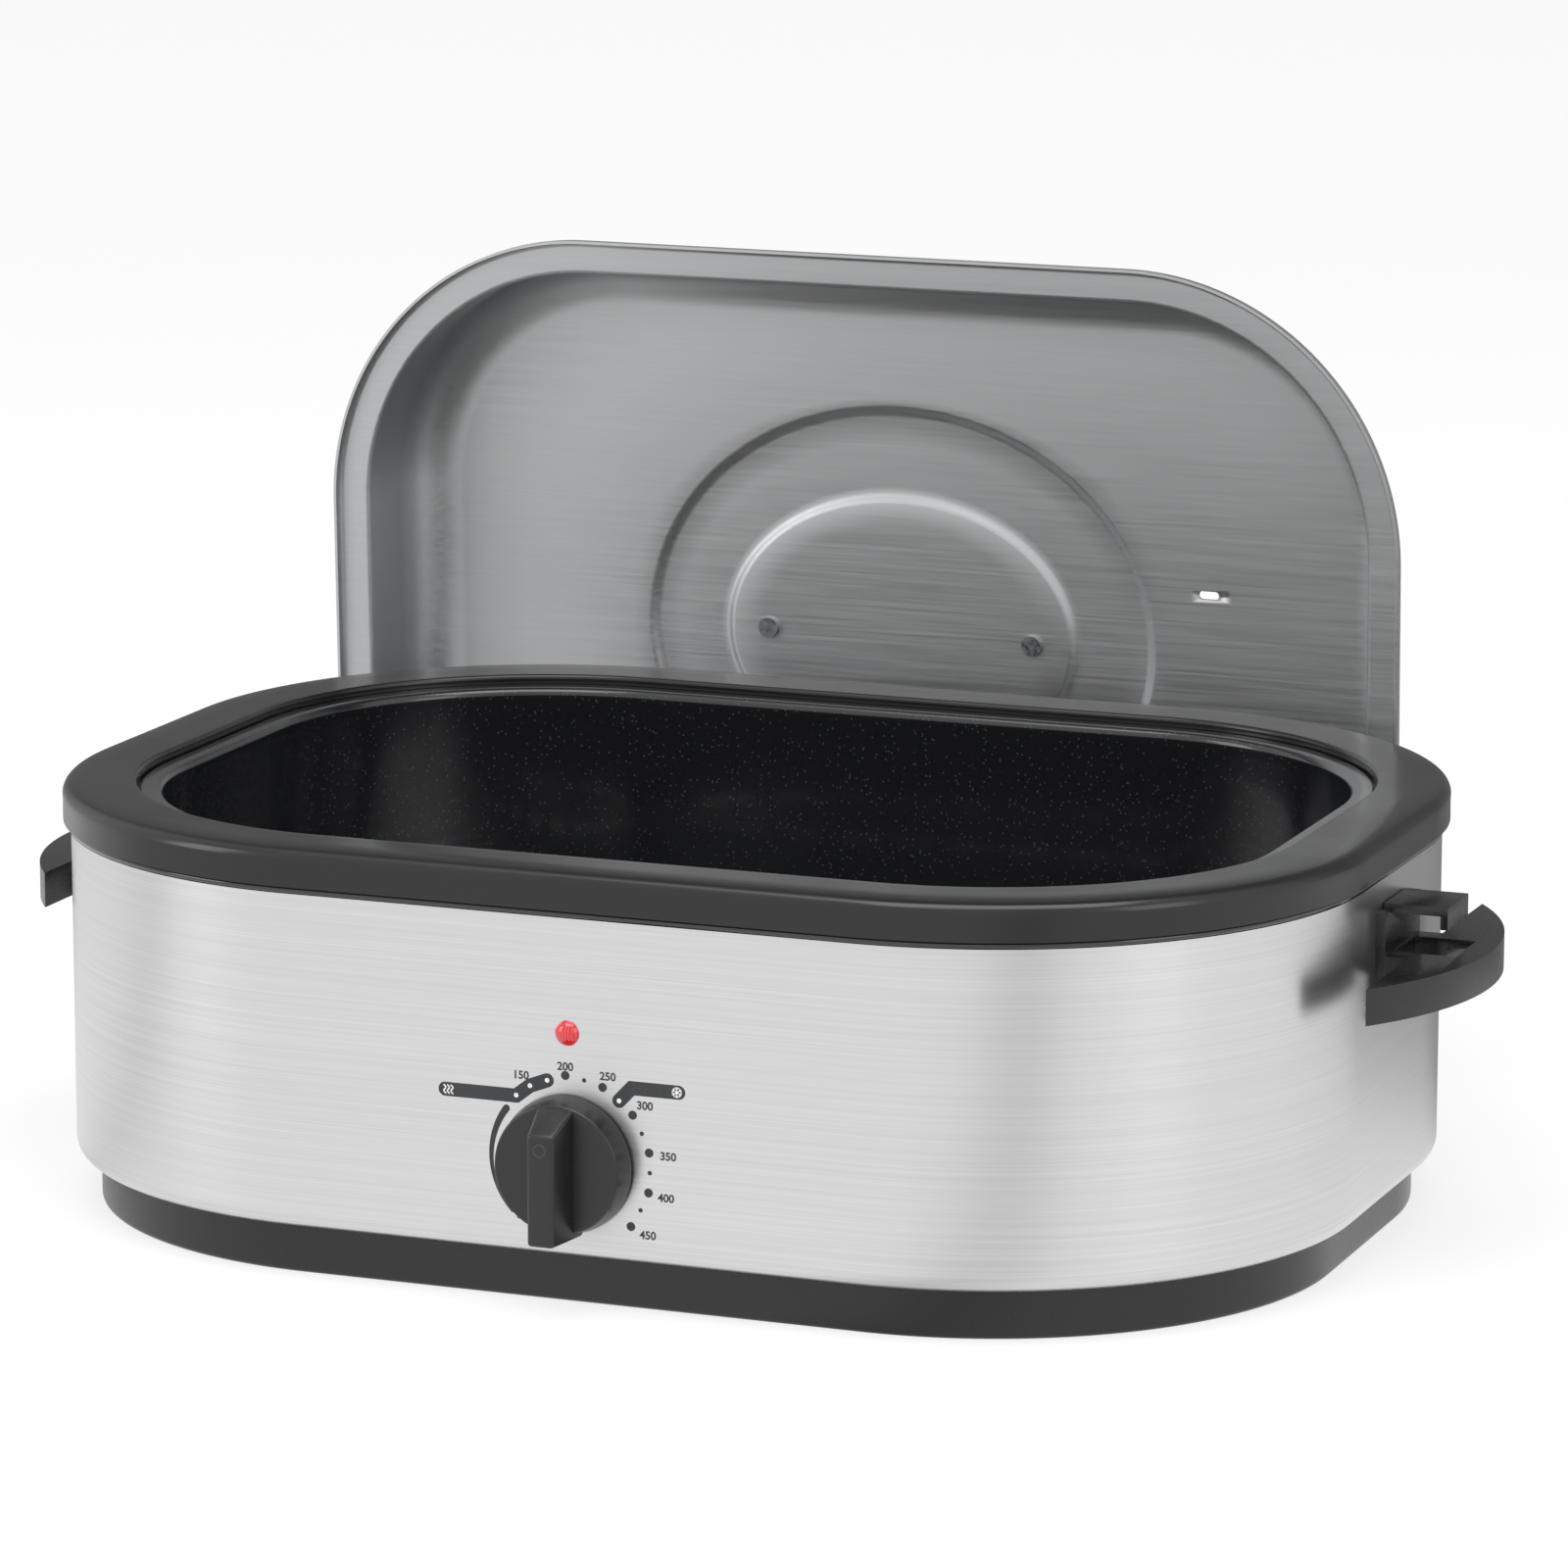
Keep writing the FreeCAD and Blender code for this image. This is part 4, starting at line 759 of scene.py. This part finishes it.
def makeKnob():
    # skirt turned round the axis, joined to a ridge that narrows towards its front
    deep = knob["depth"]
    skirt = [(12.0, 3.6), (12.0, 0.0), (26.6, 0.0), (knob["base"], 0.7), (knob["base"], 2.0),
             (knob["front"] + 1.0, deep - 2.6)]
    skirt += [(knob["front"] - 0.4 + 1.2 * math.cos(a), deep - 1.2 + 1.2 * math.sin(a))
              for a in np.linspace(0.2, math.pi / 2, 7)]
    points, faces = lathe(skirt)
    body = newObject("knob_skirt", facing(points), faces, None)
    ridgeRows = []
    for height, half, up in ((4.0, knob["ridgeBase"] + 1.2, knob["toe"]),
                             (deep, knob["ridgeBase"], knob["toe"] - 0.4),
                             (knob["high"], knob["ridgeFront"], knob["top"])):
        ridgeRows.append([(-half, knob["low"], height), (half, knob["low"], height),
                          (half, up, height), (-half, up, height)])
    corner = np.array(ridgeRows, dtype=float).reshape(-1, 3)
    sides = gridFaces(3, 4, False, True)[:, ::-1].tolist() + [[3, 2, 1, 0], [8, 9, 10, 11]]
    ridge = newObject("knob_ridge", facing(corner), sides, None)
    for thing in (body, ridge):
        outward(thing)
    softEdges(ridge, 1.5, lambda p: True)
    carve(body, [], [ridge])
    ringPoints, ringFaces = lathe([(knob["ring"] - 0.45, 0.0), (knob["ring"] - 0.3, 0.25),
                                   (knob["ring"] + 0.3, 0.25), (knob["ring"] + 0.45, 0.0)], 40)
    body.name = "knob_moulding"
    finish(body, knobBlack, 38.0)
    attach(body, "dial")
    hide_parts("knob")
    ringPoints[:, 1] += knob["ringUp"]
    ringPoints[:, 2] += knob["high"] - 0.18
    # the ring's lighter grey is painted sheen
    ring = newObject("knob_ring", facing(ringPoints), ringFaces, knob_ring_painted_sheen)
    outward(ring)
    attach(ring, "dial")


def outward(thing):
    # turns every face of a closed mesh outwards
    work = bmesh.new()
    work.from_mesh(thing.data)
    bmesh.ops.recalc_face_normals(work, faces=work.faces)
    work.to_mesh(thing.data)
    work.free()


def finish(thing, material, smooth):
    mesh = thing.data
    mesh.polygons.foreach_set("use_smooth", np.ones(len(mesh.polygons), dtype=bool))
    mesh.set_sharp_from_angle(angle=math.radians(smooth))
    mesh.materials.clear()
    mesh.materials.append(material)


# Lamp lens: cap of a ball over a short straight edge
lamp = {"level": 110.0, "radius": 5.1, "rise": 3.4, "face": -199.5}


def makeLamp():
    # ball radius = (r squared + rise squared) / (2 rise)
    ball = (lamp["radius"] ** 2 + lamp["rise"] ** 2) / (2 * lamp["rise"])
    swing = math.asin(lamp["radius"] / ball)
    profile = [(lamp["radius"] - 1.0, 0.0), (lamp["radius"], 0.0)]
    profile += [(ball * math.sin(a), lamp["rise"] - ball + ball * math.cos(a))
                for a in np.linspace(swing * 0.97, 0.03, 20)]
    points, faces = lathe(profile, 64)
    turned = np.stack([points[:, 0], lamp["face"] - points[:, 2], lamp["level"] + points[:, 1]], -1)
    lens = newObject("lamp_dome", turned, faces, lensRed)
    outward(lens)
    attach(lens, "housing")
    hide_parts("lamp_lens")


# Dial print: dots and numbers evenly spaced round the knob, a tapering arc and two blank tags
dial = {"radius": 34.8, "zeroAngle": -1.3, "perStep": 26.4, "dot": 1.8, "smallDot": 0.9,
        "numberSize": 4.5, "numbers": {150: (-19.4, 33.2), 200: (-0.8, 38.2), 250: (16.9, 35.8),
                                       300: (32.3, 25.6), 350: (41.9, 6.4), 400: (41.0, -10.2),
                                       450: (33.4, -25.7)},
        "arcFrom": -52.6, "arcTo": -136.0, "arcRadius": 32.2, "ink": 0.05,
        "leftTag": [(-51.4, 24.9), (-21.4, 24.9), (-15.6, 29.4), (-8.4, 32.2)],
        "rightTag": [(21.6, 26.8), (26.8, 32.3), (46.3, 32.3)], "tagWidth": 5.6,
        "leftDots": [(-21.4, 25.1), (-15.6, 29.4), (-8.4, 32.2)], "rightDots": [(21.6, 26.8)]}


def onPanel(points):
    # plan x, plan y and height become x, z and distance in front of the panel
    points = np.asarray(points, dtype=float)
    return np.stack([points[:, 0], -band["halfY"] - points[:, 2], knob["level"] + points[:, 1]], -1)


def around(angle, radius):
    # clock angle measured from straight up
    turn = math.radians(angle)
    return radius * math.sin(turn), radius * math.cos(turn)


def disc(x, y, radius, low, high):
    angle = np.linspace(0, 2 * math.pi, 32, endpoint=False)
    return plate(np.stack([x + radius * np.cos(angle), y + radius * np.sin(angle)], -1), low, high)


def printed(name, shapes, material):
    # joins closed flat shapes into one piece on the panel
    points, faces = [], []
    shift = 0
    for more, sides in shapes:
        points.append(np.asarray(more, dtype=float))
        faces += [[index + shift for index in side] for side in sides]
        shift += len(more)
    piece = newObject(name, onPanel(np.concatenate(points)), faces, material)
    outward(piece)
    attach(piece, "housing")


def makeNumbers():
    # text turned to mesh, then stood up on the panel
    for value, (x, z) in dial["numbers"].items():
        curve = bpy.data.curves.new("number", "FONT")
        curve.body = str(value)
        curve.size = dial["numberSize"]
        curve.offset = 0.12
        curve.extrude = 0.03
        curve.align_x = "CENTER"
        curve.align_y = "CENTER"
        text = bpy.data.objects.new("number", curve)
        bpy.context.scene.collection.objects.link(text)
        bpy.context.view_layer.update()
        mesh = freshMesh(text)
        bpy.data.objects.remove(text)
        spots = np.empty(len(mesh.vertices) * 3)
        mesh.vertices.foreach_get("co", spots)
        spots = spots.reshape(-1, 3) + np.array([x, z, 0.03])
        mesh.vertices.foreach_set("co", (onPanel(spots) * mm).ravel())
        mesh.flip_normals()
        mesh.materials.clear()
        mesh.materials.append(ink)
        piece = bpy.data.objects.new("dial_number_%d" % value, mesh)
        bpy.context.scene.collection.objects.link(piece)
        outward(piece)
        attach(piece, "housing")


def makePrint():
    # dots every half step of the scale, the arc, the tags and the pale marks on them
    low, high = 0.0, dial["ink"]
    dots = []
    for index in range(11):
        angle = dial["zeroAngle"] + dial["perStep"] * index / 2
        if index == 3:
            continue
        big = index % 2 == 0
        x, z = around(angle, dial["radius"] - (0.0 if big else 0.5))
        dots.append(disc(x, z, dial["dot"] if big else dial["smallDot"], low, high))
    x, z = around(dial["arcTo"] - 2.5, 31.0)
    dots.append(disc(x, z, 0.9, low, high))
    printed("dial_dots", dots, ink)
    sweep = np.linspace(dial["arcFrom"], dial["arcTo"] + 3.0, 40)
    path = [around(angle, dial["arcRadius"] - 0.4 * share)
            for angle, share in zip(sweep, np.linspace(0, 1, 40))]
    width = np.linspace(2.9, 0.6, 40)
    arc = thick(ribbon(path[::-1], 1.0, width[::-1]), low, high)
    printed("dial_arc", [arc], ink)
    tags = [thick(ribbon(dial[key], dial["tagWidth"]), low, high) for key in ("leftTag", "rightTag")]
    printed("dial_tags", tags, ink)
    over = high + 0.03
    pale = [disc(x, z, 0.95, high, over) for x, z in dial["leftDots"] + dial["rightDots"]]
    for shift in (-1.5, 0.0, 1.5):
        rise = np.linspace(-1.7, 1.7, 16)
        wave = np.stack([-50.0 + shift + 0.45 * np.sin(rise * 2.4), 24.9 + rise], -1)
        pale.append(thick(ribbon(wave, 0.5, capSteps=4), high, over))
    for arm in range(3):
        turn = math.radians(30 + 60 * arm)
        ray = np.array([math.cos(turn), math.sin(turn)])
        across = np.array([-ray[1], ray[0]])
        middle = np.array([45.6, 32.3])
        level = over + 0.004 * arm
        pale.append(thick(ribbon([middle - 2.0 * ray, middle + 2.0 * ray], 0.42, capSteps=4), high, level))
        for end in (-1, 1):
            fork = middle + end * ray * 1.1
            for hand in (-1, 1):
                tip = fork + end * ray * 0.75 + hand * across * 0.75
                pale.append(thick(ribbon([fork, tip], 0.34, capSteps=4), high, level + 0.002))
    printed("dial_icons", pale, paleInk)
    makeNumbers()


makeBand()
makeCollar()
makePan()
makeBase()
makeLid()
makeHandle("right_grip", "right_handle", 1)
makeHandle("left_grip", "left_handle", -1)
makeKnob()
makeLamp()
makePrint()
print("stage 3: pieces")


# Camera, lights and floor

def makeCamera():
    # view axes from yaw and pitch, then turned by the roll
    yaw, pitch, roll = lens["yaw"], lens["pitch"], lens["roll"]
    ahead = Vector((math.sin(yaw) * math.cos(pitch), math.cos(yaw) * math.cos(pitch),
                    -math.sin(pitch)))
    right = Vector((math.cos(yaw), -math.sin(yaw), 0))
    up = right.cross(ahead)
    right2 = right * math.cos(roll) + up * math.sin(roll)
    up2 = up * math.cos(roll) - right * math.sin(roll)
    data = bpy.data.cameras.new("photo_view")
    data.sensor_width = 36
    data.sensor_fit = "HORIZONTAL"
    data.lens = lens["focal"]
    data.shift_x = lens["shiftX"]
    data.shift_y = lens["shiftY"]
    data.clip_start = 0.01
    camera = bpy.data.objects.new("photo_view", data)
    turn = Matrix((right2, up2, -ahead)).transposed().to_4x4()
    camera.matrix_world = Matrix.Translation(lens["place"]) @ turn
    bpy.context.scene.collection.objects.link(camera)
    bpy.context.scene.camera = camera


def areaLight(name, place, target, sizeX, sizeY, watts):
    # white rectangle that faces its target
    data = bpy.data.lights.new(name, "AREA")
    data.shape = "RECTANGLE"
    data.size = sizeX
    data.size_y = sizeY
    data.energy = watts
    lamp = bpy.data.objects.new(name, data)
    lamp.location = place
    lamp.rotation_euler = (Vector(target) - Vector(place)).to_track_quat("-Z", "Y").to_euler()
    bpy.context.scene.collection.objects.link(lamp)


# Tone of the surroundings by compass direction: pale in front and at the sides, dark behind,
# with two narrow dips that leave soft upright bands in the steel
surround = [(0.0, 0.95), (0.03, 0.92), (0.058, 0.78), (0.09, 0.95), (0.19, 1.0), (0.31, 1.0),
            (0.346, 0.72), (0.38, 0.98), (0.5, 1.0), (0.58, 0.9), (0.64, 0.35), (0.75, 0.22),
            (0.86, 0.25), (0.9, 0.6), (0.95, 0.9), (1.0, 0.95)]


def compassTone(tree, direction):
    # share of a full turn of atan2(y, x), looked up in the list above
    split = addNode(tree, "ShaderNodeSeparateXYZ", links={"Vector": direction})
    turn = addNode(tree, "ShaderNodeMath", {"operation": "ARCTAN2"})
    tree.links.new(split.outputs["Y"], turn.inputs[0])
    tree.links.new(split.outputs["X"], turn.inputs[1])
    share = ramp(tree, turn.outputs["Value"], 0.0, 1.0, -math.pi, math.pi)
    colours = addNode(tree, "ShaderNodeValToRGB", links={"Fac": share})
    line = colours.color_ramp
    while len(line.elements) < len(surround):
        line.elements.new(0.5)
    for element, (place, tone) in zip(line.elements, surround):
        element.position = place
        element.color = (tone, tone, tone, 1)
    return colours.outputs["Color"]


def makeStage():
    material, tree, shader = newMaterial("studio floor", "f2f2f2", 0.0, 0.8)
    out = tree.nodes["Material Output"]
    ray = addNode(tree, "ShaderNodeLightPath")
    white = addNode(tree, "ShaderNodeEmission", inputs={"Color": (1, 1, 1, 1), "Strength": 1.08})
    gap = addNode(tree, "ShaderNodeMixShader")
    seen = addNode(tree, "ShaderNodeMath", {"operation": "MULTIPLY"}, inputs={1: 0.68})
    tree.links.new(ray.outputs["Is Camera Ray"], seen.inputs[0])
    tree.links.new(seen.outputs["Value"], gap.inputs["Fac"])
    tree.links.new(shader.outputs["BSDF"], gap.inputs[1])
    tree.links.new(white.outputs["Emission"], gap.inputs[2])
    place = addNode(tree, "ShaderNodeTexCoord")
    echo = addNode(tree, "ShaderNodeEmission", inputs={"Strength": 1.0},
                   links={"Color": compassTone(tree, place.outputs["Object"])})
    last = addNode(tree, "ShaderNodeMixShader")
    tree.links.new(ray.outputs["Is Glossy Ray"], last.inputs["Fac"])
    tree.links.new(gap.outputs["Shader"], last.inputs[1])
    tree.links.new(echo.outputs["Emission"], last.inputs[2])
    tree.links.new(last.outputs["Shader"], out.inputs["Surface"])
    size = 8.0
    floor = newObject("studio_floor", np.array([(-size, -size, 0), (size, -size, 0),
                      (size, size, 0), (-size, size, 0)]) / mm, [(0, 1, 2, 3)], material)
    world = bpy.data.worlds.new("studio")
    bpy.context.scene.world = world
    world.use_nodes = True
    sky = world.node_tree
    back = sky.nodes["Background"]
    ray = addNode(sky, "ShaderNodeLightPath")
    place = addNode(sky, "ShaderNodeTexCoord")
    tone = addNode(sky, "ShaderNodeMix", {"data_type": "RGBA"},
                   {"Factor": ray.outputs["Is Camera Ray"],
                    "A": compassTone(sky, place.outputs["Generated"])})
    tone.inputs["B"].default_value = (1, 1, 1, 1)
    sky.links.new(tone.outputs["Result"], back.inputs["Color"])
    back.inputs["Strength"].default_value = 1.0
    areaLight("top_box", (0.3, -0.6, 2.6), (0, 0, 0.1), 2.4, 1.6, 34)
    areaLight("left_box", (-2.4, -1.6, 1.2), (0, 0, 0.1), 1.0, 1.8, 14)
    areaLight("right_box", (2.6, -1.0, 1.1), (0, 0, 0.1), 1.0, 1.6, 8)


makeCamera()
makeStage()
bpy.context.scene.view_settings.view_transform = "Standard"
print("stage 4: camera and lights")
